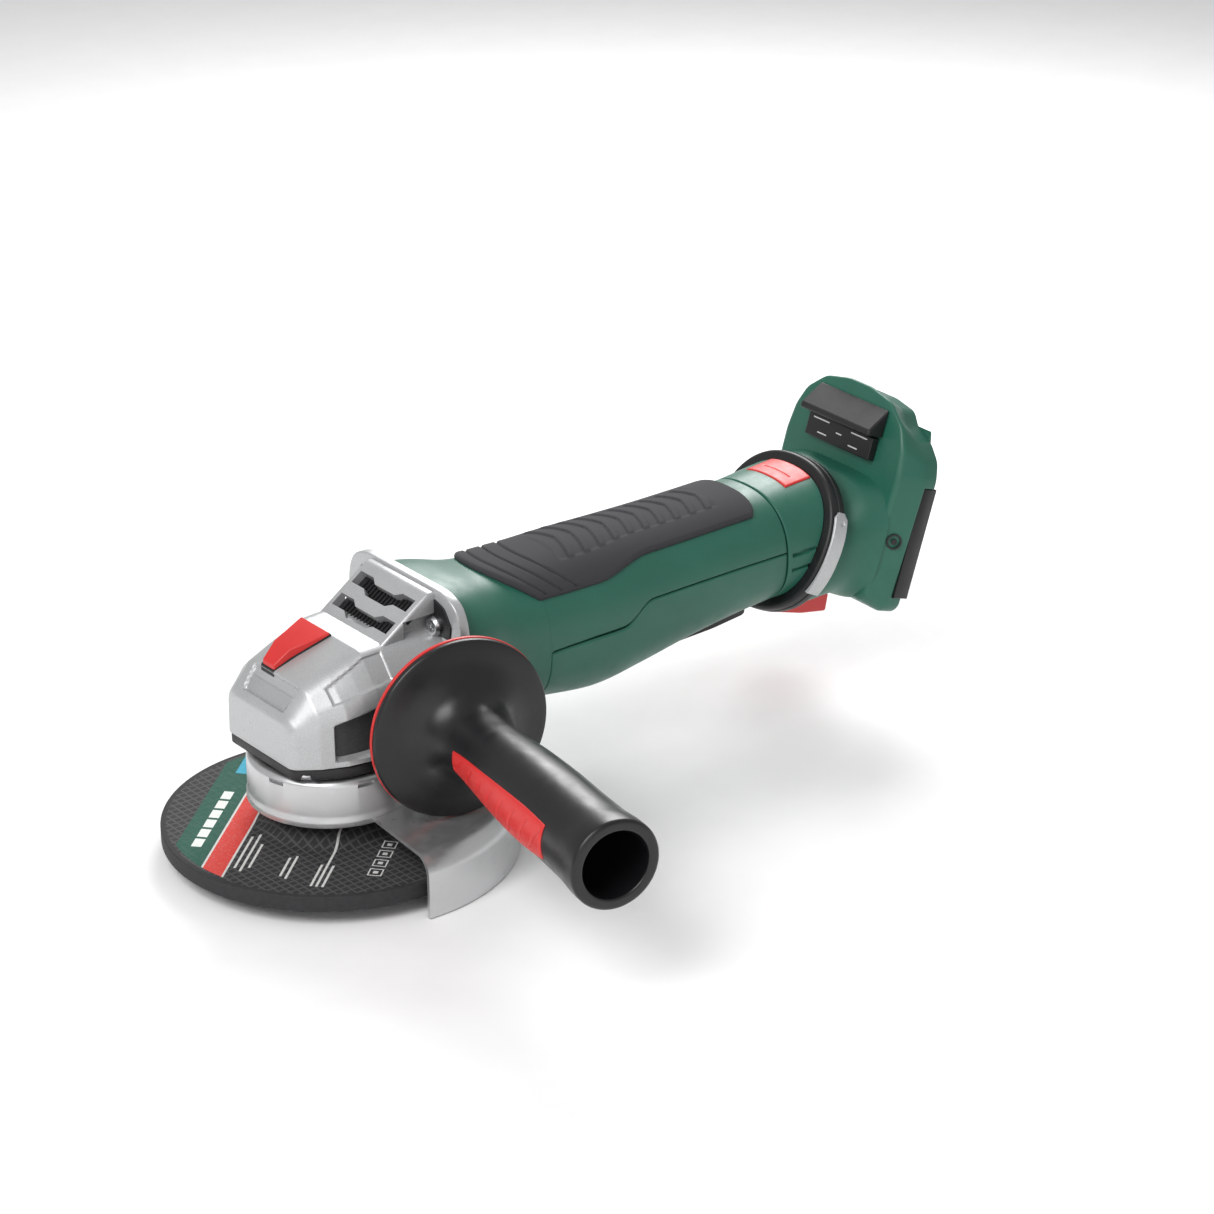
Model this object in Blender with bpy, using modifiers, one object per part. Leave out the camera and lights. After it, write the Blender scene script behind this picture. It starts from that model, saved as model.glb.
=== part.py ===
"""Cordless angle grinder for 125 mm wheels, without its battery pack.

Frame: +X from the gear head to the battery foot, -Y towards the side handle, +Z up along the spindle.
The origin is the centre of the spindle's end face. Sizes below are in millimetres, and solid() turns
each mesh into metres.
"""

import math

import bmesh
import bpy
import numpy as np
from mathutils import Matrix, Vector

MM = 0.001
GAP = 0.3  # clearance between pieces that touch in the real tool
ROUND = 28  # sides of a large turned piece
SMALL_ROUND = 16  # sides of a small turned piece
OVERCUT = 2.0  # how far a cutter runs past the face it opens

# ---- driving dimensions ----
AXIS_Z = 68.0  # height of the motor axis over the spindle's end
WHEEL_RADIUS = 62.5
WHEEL_THICK = 6.0
WHEEL_TOP = 11.0
HUB_RISE = 4.5  # how far the wheel's centre is raised
HUB_RADIUS = 22.5
WHEEL_BORE = 11.15

THREAD_RADIUS = 6.8
SPINDLE_SEAT = 7.3
SPINDLE_TOP = 72.0
NUT_RADIUS = 19.5
NUT_THICK = 7.6
NUT_HOLE_PITCH = 13.0
FLANGE_RADIUS = 20.0
FLANGE_THICK = 5.6

BEARING_RADIUS = 17.3
BEARING_HIGH = 10.0
NEEDLE_RADIUS = 8.0
NEEDLE_HIGH = 6.5

CROWN_TEETH = 36
PINION_TEETH = 12
CROWN_RADIUS = 20.0  # pitch radius at the middle of the teeth
TOOTH_LENGTH = 6.0
TOOTH_HIGH = 1.7
LOCK_HOLE = 2.7

WHEEL_CLEAR = 6.0  # between the wheel's rim and the outside of the guard's skirt
GUARD_RADIUS = WHEEL_RADIUS + WHEEL_CLEAR
GUARD_SHEET = 1.5
GUARD_LOW = -1.0
GUARD_DECK = 22.8  # top of the guard's flat cover
GUARD_NEAR = 95.0  # degrees that the guard reaches from +X towards the handle
GUARD_FAR = 78.0
BOSS_RADIUS = 25.5  # the bearing cover's neck inside the collar
COLLAR_GAP = 0.4
COLLAR_WALL = 4.6
COLLAR_RADIUS = BOSS_RADIUS + COLLAR_GAP + COLLAR_WALL
COVER_LOW = 40.5
COLLAR_TOP = COVER_LOW - 1.2
SLOT_DROP = 2.4  # the collar's slots under its top

LEVER_OUT = 6.5  # the lever's pin from the collar
LEVER_TURN = -52.0
LEVER_PIN = 1.8
LEVER_HIGH = 9.2
EAR_RADIUS = 5.0
HEAD_LOW = 45.0  # underside of the gear housing
HEAD_FRONT = -28.6
HEAD_HALF_FRONT = 20.5
HEAD_HALF = 30.0
HEAD_SKEW = 2.5  # the nose leans this far away from the handle's side
SKEW_END = -4.0  # where the skew has faded out
DECK_Z = 83.3
PLATE_X = 34.0  # front face of the square flange behind the head
PLATE_THICK = 4.0
PLATE_HALF_Y = 35.0
PLATE_HALF_Z = 30.0
VENT_TOP_X = 33.0
VENT_FOOT_X = 9.5
VENT_RISE = 13.7
VENT_HALF = 19.5
CASE_SCREW_Y = 20.5
CASE_SCREW_HIGH = 16.5
CASE_SCREW_LOW = -22.5
SCREW_RADIUS = 1.9
CASE_SCREW_HEAD = 3.8
CASE_SCREW_LONG = 11.0
COVER_SCREW_X = 22.5
COVER_SCREW_Y = 18.0
COVER_SCREW_HEAD = 3.4
COVER_SCREW_HIGH = 2.2
COVER_SCREW_DEEP = 9.0  # its hole in the gear housing
COVER_REAR = 28.0

BUTTON_Y = 8.0  # the spindle lock sits beside the middle line
BUTTON_BACK = 1.0
BUTTON_LONG = 21.0
BUTTON_HALF = 9.0
LOCK_TRAVEL = 3.5
LOCK_PIN = 2.0
WEB_Z = 56.0  # top of the crown gear's web, which the pin drops into
SPRING_LOW = 68.5
SPRING_RADIUS = 3.2
SPRING_WIRE = 0.4

SHELL_WALL = 2.4
SEAM_X = 194.0  # rear end of the motor housing
BODY_FRONT = 38.3
SPLIT_FRONT = 80.0  # where the lower shell starts
SPLIT_LOW = 62.0
SPLIT_HIGH = 69.6
SPLIT_RAMP = 115.0  # where the seam starts to climb
RAMP_LONG = 13.0
MOTOR_CLEAR = 0.85  # between the stator and the housing's wall
MOTOR_LONG = 32.0
MOTOR_X = 62.0
MOTOR_END = MOTOR_X + MOTOR_LONG
SHAFT_RADIUS = 4.0
REAR_BEARING_X = MOTOR_END + 10.0
REAR_BEARING_LONG = 6.0
PRESS = 0.1  # clearance of a fitted ring on its shaft
FAN_X = 49.0
FAN_RADIUS = 20.5
FAN_BLADES = 9

PADDLE_PIVOT = (116.0, 43.5)  # x, z
PADDLE_REAR = SEAM_X - 8.0
PADDLE_HALF = 10.8
PADDLE_PIN = 2.0
PADDLE_GAP = 0.7  # between the paddle and the sides of its opening
EAR_OUT = 17.0
LOCK_OFF_X = PADDLE_REAR - 32.0
PLUNGER_X = PADDLE_REAR - 13.0
PLUNGER_RADIUS = 2.5
PADDLE_SPRING_X = PADDLE_REAR - 46.0
SWITCH_LOW = 56.0
SWITCH_HIGH = 70.0
BOARD_LOW = 74.0
BOARD_THICK = 1.8

RING_LEAN = 27.0  # degrees, top towards the rear
RING_X = SEAM_X + 16.0
RING_THICK = 8.0
RING_HALF_Y = 32.5
RING_HALF_Z = 31.0
NECK_HALF_Y = 27.5
NECK_HALF_Z = 26.0
LENS_LOW = 89.0
LENS_START = 16.5  # behind the round seam
LENS_HALF = 9.2
RING_SQUARE = 2.2
PLATE_TOP_TURN = 150.0  # where the bright plate ends, in degrees round the ring
PLATE_LOW_TURN = 208.0

FOOT_LEAN = 18.6  # degrees, top towards the rear
FOOT_X = RING_X + 43.0  # the rear face at the height of the neck
FOOT_HALF = 38.0
FOOT_LOW = -35.0  # along the leaning face
FOOT_HIGH = 44.0
FOOT_THICK = 17.0
FOOT_TAPER = 5.0  # how much narrower each side of the foot is at its front face
FOOT_RISE = 4.0  # how much higher the foot is at its front face
SLOT_HALF = 27.0  # the battery's channel
SLOT_DEEP = 8.0
SIDE_DEEP = 6.0  # the rail plate's sides are let into the foot by this much
RAIL_OUT = 1.5
RAIL_LOW = -28.0
RAIL_HIGH = 20.0
RAIL_WALL = 2.2
RAIL_TOP = RAIL_HIGH - 3.5
LIP = 3.5
COVER_OUT = 8.5  # the sloping cover on the foot
COVER_HALF = 20.0
PANEL_OUT = 3.5
PANEL_HALF = 18.5

HANDLE_X = 24.0
HANDLE_Y = -45.0
HANDLE_Z = 57.3
HANDLE_SWEEP = 10.0  # degrees forward of the Y axis
HANDLE_LONG = 119.5
DISC_RADIUS = 34.0
GRIP_END = 16.6
GRIP_HOLLOW = 12.4
HOLLOW_DEEP = 34.0
STUD_RADIUS = 4.0
SOCKET_DEEP = 15.0
BOSS_ROUND = 11.2  # radius of the head's bosses for the side handle

# ---- the motor housing's cross-sections: x, middle z, half width, half height, squareness ----
BODY_STATIONS = (
    (BODY_FRONT, 68.0, 33.5, 28.5, 2.9),
    (48.0, 67.5, 32.5, 27.8, 2.7),
    (62.0, 66.0, 28.5, 26.2, 2.5),
    (85.0, 63.5, 27.2, 27.6, 2.4),
    (110.0, 62.0, 27.0, 29.0, 2.4),
    (130.0, 63.0, 26.4, 27.4, 2.4),
    (150.0, 64.5, 25.9, 25.4, 2.4),
    (SEAM_X - 22.0, 66.0, 25.6, 23.8, 2.4),
    (SEAM_X, 67.0, 25.8, 22.8, 2.4),
)

# ---- the gear head's cross-sections: x, half width low, half width high, shoulder z, top z ----
HEAD_STATIONS = (
    (-28.6, 20.5, 17.0, 60.0, 62.5),
    (-26.5, 22.0, 17.0, 62.0, 64.5),
    (-20.0, 26.0, 16.5, 66.5, 73.5),
    (-11.0, 29.0, 17.0, 69.0, 77.8),
    (1.5, 30.0, 18.5, 70.5, 83.0),
    (14.0, 30.0, 19.0, 72.0, 83.3),
    (26.0, 30.0, 19.0, 74.0, 83.3),
    (34.2, 31.0, 19.0, 75.0, 83.3),
)

# ---- the handle's inlay: distance from the disc, grip radius, degrees above and below its middle ----
INLAY_STATIONS = (
    (23.0, 13.1, 6.0, 14.0),
    (27.0, 12.9, 13.0, 28.0),
    (34.0, 13.4, 18.0, 38.0),
    (48.0, 14.5, 23.0, 42.0),
    (70.0, 15.6, 27.0, 40.0),
    (86.0, 15.7, 29.0, 30.0),
    (95.0, 15.7, 29.0, 20.0),
)
INLAY_TOP = 0.75
INLAY_LOW = 0.35

FINISHES = {
    "silver": ((0.72, 0.73, 0.74), 0.35, 0.9),
    "steel": ((0.62, 0.62, 0.63), 0.3, 1.0),
    "brass": ((0.75, 0.58, 0.28), 0.35, 1.0),
    "copper": ((0.68, 0.36, 0.2), 0.4, 1.0),
    "guard": ((0.78, 0.79, 0.8), 0.4, 0.8),
    "green": ((0.03, 0.22, 0.15), 0.4, 0.0),
    "black": ((0.02, 0.02, 0.022), 0.5, 0.0),
    "rubber": ((0.025, 0.026, 0.03), 0.8, 0.0),
    "grey": ((0.12, 0.12, 0.12), 0.55, 0.0),
    "red": ((0.75, 0.06, 0.07), 0.4, 0.0),
    "abrasive": ((0.035, 0.035, 0.037), 0.95, 0.0),
    "board": ((0.02, 0.12, 0.06), 0.6, 0.0),
    "core": ((0.3, 0.3, 0.32), 0.5, 0.8),
}

PARTS = None
CUTTERS = None


# ---- scene and finishes ----
def clear_scene():
    for obj in list(bpy.data.objects):
        bpy.data.objects.remove(obj, do_unlink=True)


def new_collection(name):
    collection = bpy.data.collections.new(name)
    bpy.context.scene.collection.children.link(collection)
    return collection


def finish(name):
    """The Principled material of one finish."""
    found = bpy.data.materials.get(name)
    if found:
        return found
    colour, roughness, metallic = FINISHES[name]
    made = bpy.data.materials.new(name)
    made.use_nodes = True
    shader = made.node_tree.nodes["Principled BSDF"]
    shader.inputs["Base Color"].default_value = (*colour, 1.0)
    shader.inputs["Roughness"].default_value = roughness
    shader.inputs["Metallic"].default_value = metallic
    return made


# ---- mesh makers: each returns a bmesh in millimetres ----
def block(low, high):
    """A box between two corners."""
    bm = bmesh.new()
    bmesh.ops.create_cube(bm, size=1.0)
    size = Vector(high) - Vector(low)
    bmesh.ops.scale(bm, vec=size, verts=bm.verts)
    bmesh.ops.translate(bm, vec=(Vector(high) + Vector(low)) / 2, verts=bm.verts)
    return bm


def rod(radius, start, end, sides=SMALL_ROUND, end_radius=None):
    """A cylinder, or a cone, from one point to another."""
    bm = bmesh.new()
    start, end = Vector(start), Vector(end)
    run = end - start
    last = radius if end_radius is None else end_radius
    bmesh.ops.create_cone(
        bm, cap_ends=True, segments=sides, radius1=radius, radius2=last, depth=run.length
    )
    turn = run.to_track_quat("Z", "Y").to_matrix().to_4x4()
    place = Matrix.Translation((start + end) / 2) @ turn
    bmesh.ops.transform(bm, matrix=place, verts=bm.verts)
    return bm


def loft(rings, wrap=False):
    """A skin through rings of equal length: capped at its ends, or closed on itself."""
    bm = bmesh.new()
    rows = [[bm.verts.new(point) for point in ring] for ring in rings]
    count = len(rows[0])
    pairs = list(zip(rows, rows[1:])) + ([(rows[-1], rows[0])] if wrap else [])
    for first, second in pairs:
        for i in range(count):
            j = (i + 1) % count
            bm.faces.new((first[i], first[j], second[j], second[i]))
    if not wrap:
        bm.faces.new(rows[0])
        bm.faces.new(rows[-1])
    bmesh.ops.triangulate(bm, faces=[face for face in bm.faces if len(face.verts) == 4])
    bmesh.ops.recalc_face_normals(bm, faces=bm.faces)
    return bm


def prism(outline, direction, near, far):
    """An outline of (a, b) points, carried along one axis: X takes (y, z), Y takes (x, z), Z takes (x, y)."""
    places = {
        "X": lambda a, b, t: (t, a, b),
        "Y": lambda a, b, t: (a, t, b),
        "Z": lambda a, b, t: (a, b, t),
    }
    at = places[direction]
    return loft([[at(a, b, t) for a, b in outline] for t in (near, far)])


def solid(name, bm, material, origin=(0, 0, 0), place=None):
    """A part from a mesh in millimetres, with its origin at a point of the tool's frame."""
    if place is not None:
        bmesh.ops.transform(bm, matrix=place, verts=bm.verts)
    bmesh.ops.translate(bm, vec=-Vector(origin), verts=bm.verts)
    bmesh.ops.scale(bm, vec=(MM, MM, MM), verts=bm.verts)
    mesh = bpy.data.meshes.new(name)
    bm.to_mesh(mesh)
    bm.free()
    mesh.shade_smooth()
    mesh.set_sharp_from_angle(angle=math.radians(30))
    obj = bpy.data.objects.new(name, mesh)
    obj.location = Vector(origin) * MM
    if material is None:
        CUTTERS.objects.link(obj)
        obj.hide_render = True
        obj.display_type = "WIRE"
    else:
        PARTS.objects.link(obj)
        mesh.materials.append(finish(material))
    return obj


def turned(name, profile, material, sides=ROUND, origin=(0, 0, 0), axis=(0, 0, 1), closed=True):
    """A turned part. The profile is (radius, height) points, down the outer side, in millimetres."""
    mesh = bpy.data.meshes.new(name)
    points = [(radius * MM, 0.0, height * MM) for radius, height in profile]
    edges = [(i, i + 1) for i in range(len(points) - 1)]
    if closed:
        edges.append((len(points) - 1, 0))
    mesh.from_pydata(points, edges, [])
    obj = bpy.data.objects.new(name, mesh)
    obj.location = Vector(origin) * MM
    obj.rotation_mode = "QUATERNION"
    obj.rotation_quaternion = Vector(axis).to_track_quat("Z", "Y")
    screw = obj.modifiers.new("Turn", "SCREW")
    screw.axis = "Z"
    screw.steps = sides
    screw.render_steps = sides
    screw.use_merge_vertices = True
    screw.merge_threshold = 0.00001
    screw.use_smooth_shade = True
    if material is None:
        CUTTERS.objects.link(obj)
        obj.hide_render = True
        obj.display_type = "WIRE"
    else:
        PARTS.objects.link(obj)
        mesh.materials.append(finish(material))
    return obj


def combine(obj, other, operation):
    """Cuts, joins or meets obj with another object, which leaves the parts."""
    step = obj.modifiers.new(operation.title(), "BOOLEAN")
    step.operation = operation
    step.solver = "EXACT"
    step.object = other


def cut(obj, bm):
    combine(obj, solid(f"{obj.name}_cut_{len(obj.modifiers)}", bm, None), "DIFFERENCE")


def join(obj, bm):
    combine(obj, solid(f"{obj.name}_add_{len(obj.modifiers)}", bm, None), "UNION")


# ---- shared shapes ----
def oval(half_y, half_z, squareness, count=28):
    """Points (y, z) of a superellipse: squareness 2 is an ellipse, and more is squarer."""
    angles = (np.arange(count) + 0.5) * 2 * math.pi / count
    power = 2.0 / squareness
    y = np.sign(np.cos(angles)) * np.abs(np.cos(angles)) ** power * half_y
    z = np.sign(np.sin(angles)) * np.abs(np.sin(angles)) ** power * half_z
    return list(zip(y.tolist(), z.tolist()))


def body_section(x):
    """The motor housing's middle height, half width, half height and squareness at x."""
    table = np.array(BODY_STATIONS)
    return [float(np.interp(x, table[:, 0], table[:, i])) for i in range(1, 5)]


def body_rings(stops, inset=0.0):
    rings = []
    for x in stops:
        middle, half_y, half_z, squareness = body_section(x)
        outline = oval(half_y - inset, half_z - inset, squareness)
        rings.append([(x, y, middle + z) for y, z in outline])
    return rings


def body_stops(first, last):
    inner = [row[0] for row in BODY_STATIONS if first < row[0] < last]
    return [first, *inner, last]


def leaning(x, z, lean):
    """The frame of a plane that leans to the rear: its X is the plane's rearward normal."""
    return Matrix.Translation((x, 0, z)) @ Matrix.Rotation(math.radians(lean), 4, "Y")


def ring_frame():
    return leaning(RING_X, AXIS_Z - 2.0, RING_LEAN)


def foot_frame():
    return leaning(FOOT_X, AXIS_Z - 1.0, FOOT_LEAN)


def handle_frame():
    """Its Z runs out along the side handle, from the back of the handle's disc."""
    sweep = math.radians(HANDLE_SWEEP)
    run = Vector((-math.sin(sweep), -math.cos(sweep), 0))
    turn = run.to_track_quat("Z", "Y").to_matrix().to_4x4()
    return Matrix.Translation((HANDLE_X, HANDLE_Y, HANDLE_Z)) @ turn


# ---- the wheel and what holds it ----
def make_spindle():
    seat = WHEEL_TOP + HUB_RISE + GAP + FLANGE_THICK + GAP
    bearing = COVER_LOW - 9.0
    crown = HEAD_LOW + 1.0
    profile = (
        (0, SPINDLE_TOP), (5.0, SPINDLE_TOP), (5.0, crown + 15), (SPINDLE_SEAT, crown + 15),
        (SPINDLE_SEAT, bearing), (9.0, bearing), (9.0, seat), (THREAD_RADIUS, seat), (THREAD_RADIUS, 0),
        (0, 0),
    )
    return turned("spindle", profile, "steel", sides=24, closed=False)


def make_clamp_nut():
    top = WHEEL_TOP + HUB_RISE - WHEEL_THICK - GAP
    low = top - NUT_THICK
    bore = THREAD_RADIUS + GAP
    profile = (
        (bore, top), (NUT_RADIUS, top), (NUT_RADIUS, top - 3.5), (NUT_RADIUS - 2, low), (bore, low),
    )
    nut = turned("clamp_nut", profile, "steel")
    for turn in (45, 225):
        x = NUT_HOLE_PITCH * math.cos(math.radians(turn))
        y = NUT_HOLE_PITCH * math.sin(math.radians(turn))
        cut(nut, rod(2.4, (x, y, low - OVERCUT), (x, y, top - 2.5), 12))
    return nut


def make_inner_flange():
    low = WHEEL_TOP + HUB_RISE + GAP
    register = WHEEL_BORE - GAP
    profile = (
        (THREAD_RADIUS + GAP, low + FLANGE_THICK), (FLANGE_RADIUS - 3, low + FLANGE_THICK),
        (FLANGE_RADIUS, low + 2.2), (FLANGE_RADIUS, low), (register, low), (register, low - 3),
        (THREAD_RADIUS + GAP, low - 3),
    )
    return turned("inner_flange", profile, "steel")


def make_wheel():
    top, low = WHEEL_TOP, WHEEL_TOP - WHEEL_THICK
    profile = (
        (WHEEL_BORE, top + HUB_RISE), (HUB_RADIUS, top + HUB_RISE), (HUB_RADIUS + HUB_RISE, top),
        (WHEEL_RADIUS, top), (WHEEL_RADIUS, low), (HUB_RADIUS + HUB_RISE + 1, low),
        (HUB_RADIUS + 1, low + HUB_RISE), (WHEEL_BORE, low + HUB_RISE),
    )
    return turned("grinding_wheel", profile, "abrasive", sides=44)


# ---- the guard ----
def guard_section(angle):
    """The guard's sheet at one angle: a flat cover that turns down into the skirt."""
    inner = COLLAR_RADIUS - 2.0
    outline = (
        (inner, GUARD_DECK - GUARD_SHEET), (GUARD_RADIUS - 5, GUARD_DECK - GUARD_SHEET),
        (GUARD_RADIUS - GUARD_SHEET, GUARD_DECK - 5), (GUARD_RADIUS - GUARD_SHEET, GUARD_LOW),
        (GUARD_RADIUS, GUARD_LOW), (GUARD_RADIUS, GUARD_DECK - 4.2),
        (GUARD_RADIUS - 4.2, GUARD_DECK), (inner, GUARD_DECK),
    )
    return [(r * math.cos(angle), r * math.sin(angle), z) for r, z in outline]


def make_guard():
    """The sheet swept round the wheel, on a collar that turns on the bearing cover's neck."""
    bore = BOSS_RADIUS + COLLAR_GAP
    low = GUARD_DECK - GUARD_SHEET
    profile = (
        (bore, COLLAR_TOP), (COLLAR_RADIUS - 1.2, COLLAR_TOP), (COLLAR_RADIUS, COLLAR_TOP - 1.2),
        (COLLAR_RADIUS + 0.5, low), (bore, low),
    )
    guard = turned("guard", profile, "guard")
    angles = np.radians(np.linspace(-GUARD_NEAR, GUARD_FAR, 24))
    join(guard, loft([guard_section(angle) for angle in angles]))
    slot = COLLAR_TOP - SLOT_DROP
    for turn in (-164, -100, 16, 80):
        notch = block((COLLAR_RADIUS - 1.4, -3.5, slot - 0.8), (COLLAR_RADIUS + OVERCUT, 3.5, slot + 0.8))
        bmesh.ops.rotate(notch, matrix=Matrix.Rotation(math.radians(turn), 3, "Z"), verts=notch.verts)
        cut(guard, notch)
    return guard


def lever_pivot():
    """x and y of the guard lever's pin, beside the collar."""
    reach = COLLAR_RADIUS + LEVER_OUT
    turn = math.radians(LEVER_TURN)
    return reach * math.cos(turn), reach * math.sin(turn)


def make_guard_lever():
    x, y = lever_pivot()
    low = GUARD_DECK + 5.0
    top = low + LEVER_HIGH
    out = Vector((x, y, 0)).normalized()
    side = Vector((-out.y, out.x, 0))
    corners = ((3.8, -4.0), (3.8, 8.0), (6.5, 20.0), (3.5, 22.0), (-1.0, 15.0), (-3.4, 6.0), (-4.4, -7.0))
    outline = [(x + out.x * a + side.x * b, y + out.y * a + side.y * b) for a, b in corners]
    lever = solid("guard_lever", prism(outline, "Z", low, top), "steel", origin=(x, y, low))
    cut(lever, rod(LEVER_PIN + GAP, (x, y, low - OVERCUT), (x, y, top + OVERCUT), 12))
    return lever


def make_guard_lever_pin():
    x, y = lever_pivot()
    low, top = (x, y, GUARD_DECK + 3.5), (x, y, COVER_LOW + 3.2)
    return solid("guard_lever_pin", rod(LEVER_PIN, low, top, 12), "steel")


# ---- the gear head ----
def head_outline(inset, rear):
    """The head's outline from above, at its underside."""
    front, half, side = HEAD_FRONT + inset, HEAD_HALF_FRONT - inset / 2, HEAD_HALF - inset
    right = [(front, -half), (front + 4, -half - 3.0), (-13.0, -side + 1.0), (SKEW_END, -side), (rear, -side)]
    return [(x, y + skew(x)) for x, y in right + [(x, -y) for x, y in reversed(right)]]


def skew(x):
    """How far the head's middle lies from Y = 0: nothing behind SKEW_END, and all of it at the front."""
    return HEAD_SKEW * min(1.0, max(0.0, (SKEW_END - x) / (SKEW_END - HEAD_FRONT)))


def make_bearing_cover():
    top = HEAD_LOW - GAP
    cover = solid("bearing_cover", prism(head_outline(0.6, COVER_REAR), "Z", COVER_LOW, top), "black")
    low = GUARD_DECK + 2.0
    join(cover, rod(BOSS_RADIUS, (0, 0, low), (0, 0, COVER_LOW + 1), ROUND))
    x, y = lever_pivot()
    join(cover, rod(EAR_RADIUS, (x, y, COVER_LOW), (x, y, top), SMALL_ROUND))
    cut(cover, rod(BEARING_RADIUS + GAP, (0, 0, low + 2.5), (0, 0, top + OVERCUT), ROUND))
    cut(cover, rod(11.0, (0, 0, low - OVERCUT), (0, 0, low + 4), ROUND))
    cut(cover, rod(LEVER_PIN + GAP, (x, y, COVER_LOW - OVERCUT), (x, y, COVER_LOW + 3.5), 12))
    for x, y in screw_places(COVER_SCREW_X, COVER_SCREW_Y):
        cut(cover, rod(SCREW_RADIUS + GAP, (x, y, COVER_LOW - OVERCUT), (x, y, top + OVERCUT), 12))
        seat = (x, y, cover_screw_seat() + GAP)
        cut(cover, rod(COVER_SCREW_HEAD + GAP, (x, y, COVER_LOW - OVERCUT), seat, 14))
    return cover


def cover_screw_seat():
    """Height of the shoulder that a cover screw's head presses on: the head is sunk in the cover."""
    return COVER_LOW + COVER_SCREW_HIGH + PRESS


def screw_places(a, b):
    return [(-a, -b), (-a, b), (a, -b), (a, b)]


def case_screw_places():
    """y and z of the screws that hold the head to the motor housing."""
    heights = (AXIS_Z + CASE_SCREW_LOW, AXIS_Z + CASE_SCREW_HIGH)
    return [(y, z) for y in (-CASE_SCREW_Y, CASE_SCREW_Y) for z in heights]


def head_ring(x, low_half, high_half, shoulder, top):
    right = [(-low_half, HEAD_LOW), (-low_half, shoulder - 6), (-low_half + 1.5, shoulder),
             (-high_half - 2.5, top - 2.0), (-high_half, top)]
    return [(x, y + skew(x), z) for y, z in right + [(-y, z) for y, z in reversed(right)]]


def plate_outline():
    """The square flange with cut-off corners, as (y, z)."""
    half_y, half_z, corner = PLATE_HALF_Y, PLATE_HALF_Z, 11.0
    quarter = ((half_y, half_z - corner), (half_y - 3.2, half_z - 3.2), (half_y - corner, half_z))
    top = [(y, AXIS_Z + z) for y, z in quarter]
    top += [(-y, z) for y, z in reversed(top)]
    return top + [(y, 2 * AXIS_Z - z) for y, z in reversed(top)]


def vent_outline():
    """The raised vent block from the side, as (x, z)."""
    top = DECK_Z + VENT_RISE
    back, low = PLATE_X + 1, DECK_Z - 5
    return (VENT_FOOT_X, DECK_Z - 1), (VENT_TOP_X - 2, top), (back, top), (back, low), (VENT_FOOT_X, low)


def make_gear_housing():
    housing = solid("gear_housing", loft([head_ring(*row) for row in HEAD_STATIONS]), "silver")
    join(housing, prism(plate_outline(), "X", PLATE_X, PLATE_X + PLATE_THICK))
    join(housing, prism(vent_outline(), "Y", -VENT_HALF, VENT_HALF))
    for side in (-1, 1):
        sweep = handle_axis(side)
        join(housing, rod(BOSS_ROUND, sweep(-4), sweep(11.5), 20))
        cut(housing, rod(STUD_RADIUS + GAP, sweep(12 + OVERCUT), sweep(11.5 - SOCKET_DEEP), SMALL_ROUND))
    deep = HEAD_LOW - OVERCUT
    cut(housing, rod(CROWN_RADIUS + TOOTH_LENGTH / 2 + 0.8, (0, 0, deep), (0, 0, 64.5), ROUND))
    cut(housing, rod(NEEDLE_RADIUS + GAP, (0, 0, 60), (0, 0, SPINDLE_TOP + 0.5), 20))
    cut(housing, rod(10.0, (13, 0, AXIS_Z), (30, 0, AXIS_Z), 20))
    cut(housing, rod(18.0, (27, 0, AXIS_Z), (PLATE_X + PLATE_THICK + OVERCUT, 0, AXIS_Z), 24))
    cut(housing, rod(2.5, lock_pin_at(60), lock_pin_at(90), 12))
    cut(housing, rod(SPRING_RADIUS + 0.5, lock_pin_at(SPRING_LOW - GAP), lock_pin_at(90), 12))
    pocket = button_outline(GAP, -LOCK_TRAVEL - 1.5)
    cut(housing, prism(pocket, "Y", BUTTON_Y - BUTTON_HALF - GAP, BUTTON_Y + BUTTON_HALF + GAP))
    cut(housing, block((PLATE_X - 12, -VENT_HALF + 5, 76), (PLATE_X - 1, VENT_HALF - 5, DECK_Z + 4)))
    cut_vents(housing)
    relief = COLLAR_TOP + COLLAR_GAP
    cut(housing, rod(COLLAR_RADIUS + COLLAR_GAP, (0, 0, GUARD_DECK), (0, 0, relief), ROUND))
    for y, z in case_screw_places():
        end = (PLATE_X + PLATE_THICK + OVERCUT, y, z)
        cut(housing, rod(SCREW_RADIUS + GAP, (PLATE_X - 8, y, z), end, 10))
        cut(housing, rod(CASE_SCREW_HEAD + 0.8, (PLATE_X - 14, y, z), (PLATE_X + 0.05, y, z), 14))
    for x, y in screw_places(COVER_SCREW_X, COVER_SCREW_Y):
        cut(housing, rod(SCREW_RADIUS + GAP, (x, y, deep), (x, y, HEAD_LOW + COVER_SCREW_DEEP), 12))
    return housing


def cut_vents(housing):
    """Two slots across the vent block's slope, through to the air space behind it."""
    top = DECK_Z + VENT_RISE
    slope = math.atan2(VENT_RISE + 2, VENT_TOP_X - 2 - VENT_FOOT_X)
    for share in (0.28, 0.70):
        x = VENT_FOOT_X + (VENT_TOP_X - 2 - VENT_FOOT_X) * share
        z = DECK_Z - 2 + (top - DECK_Z + 2) * share
        slot = block((-2.5, -VENT_HALF + 3.0, -12), (2.5, VENT_HALF - 3.0, 6))
        turn = Matrix.Rotation(-slope / 2, 4, "Y")
        bmesh.ops.transform(slot, matrix=Matrix.Translation((x, 0, z)) @ turn, verts=slot.verts)
        cut(housing, slot)


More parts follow.
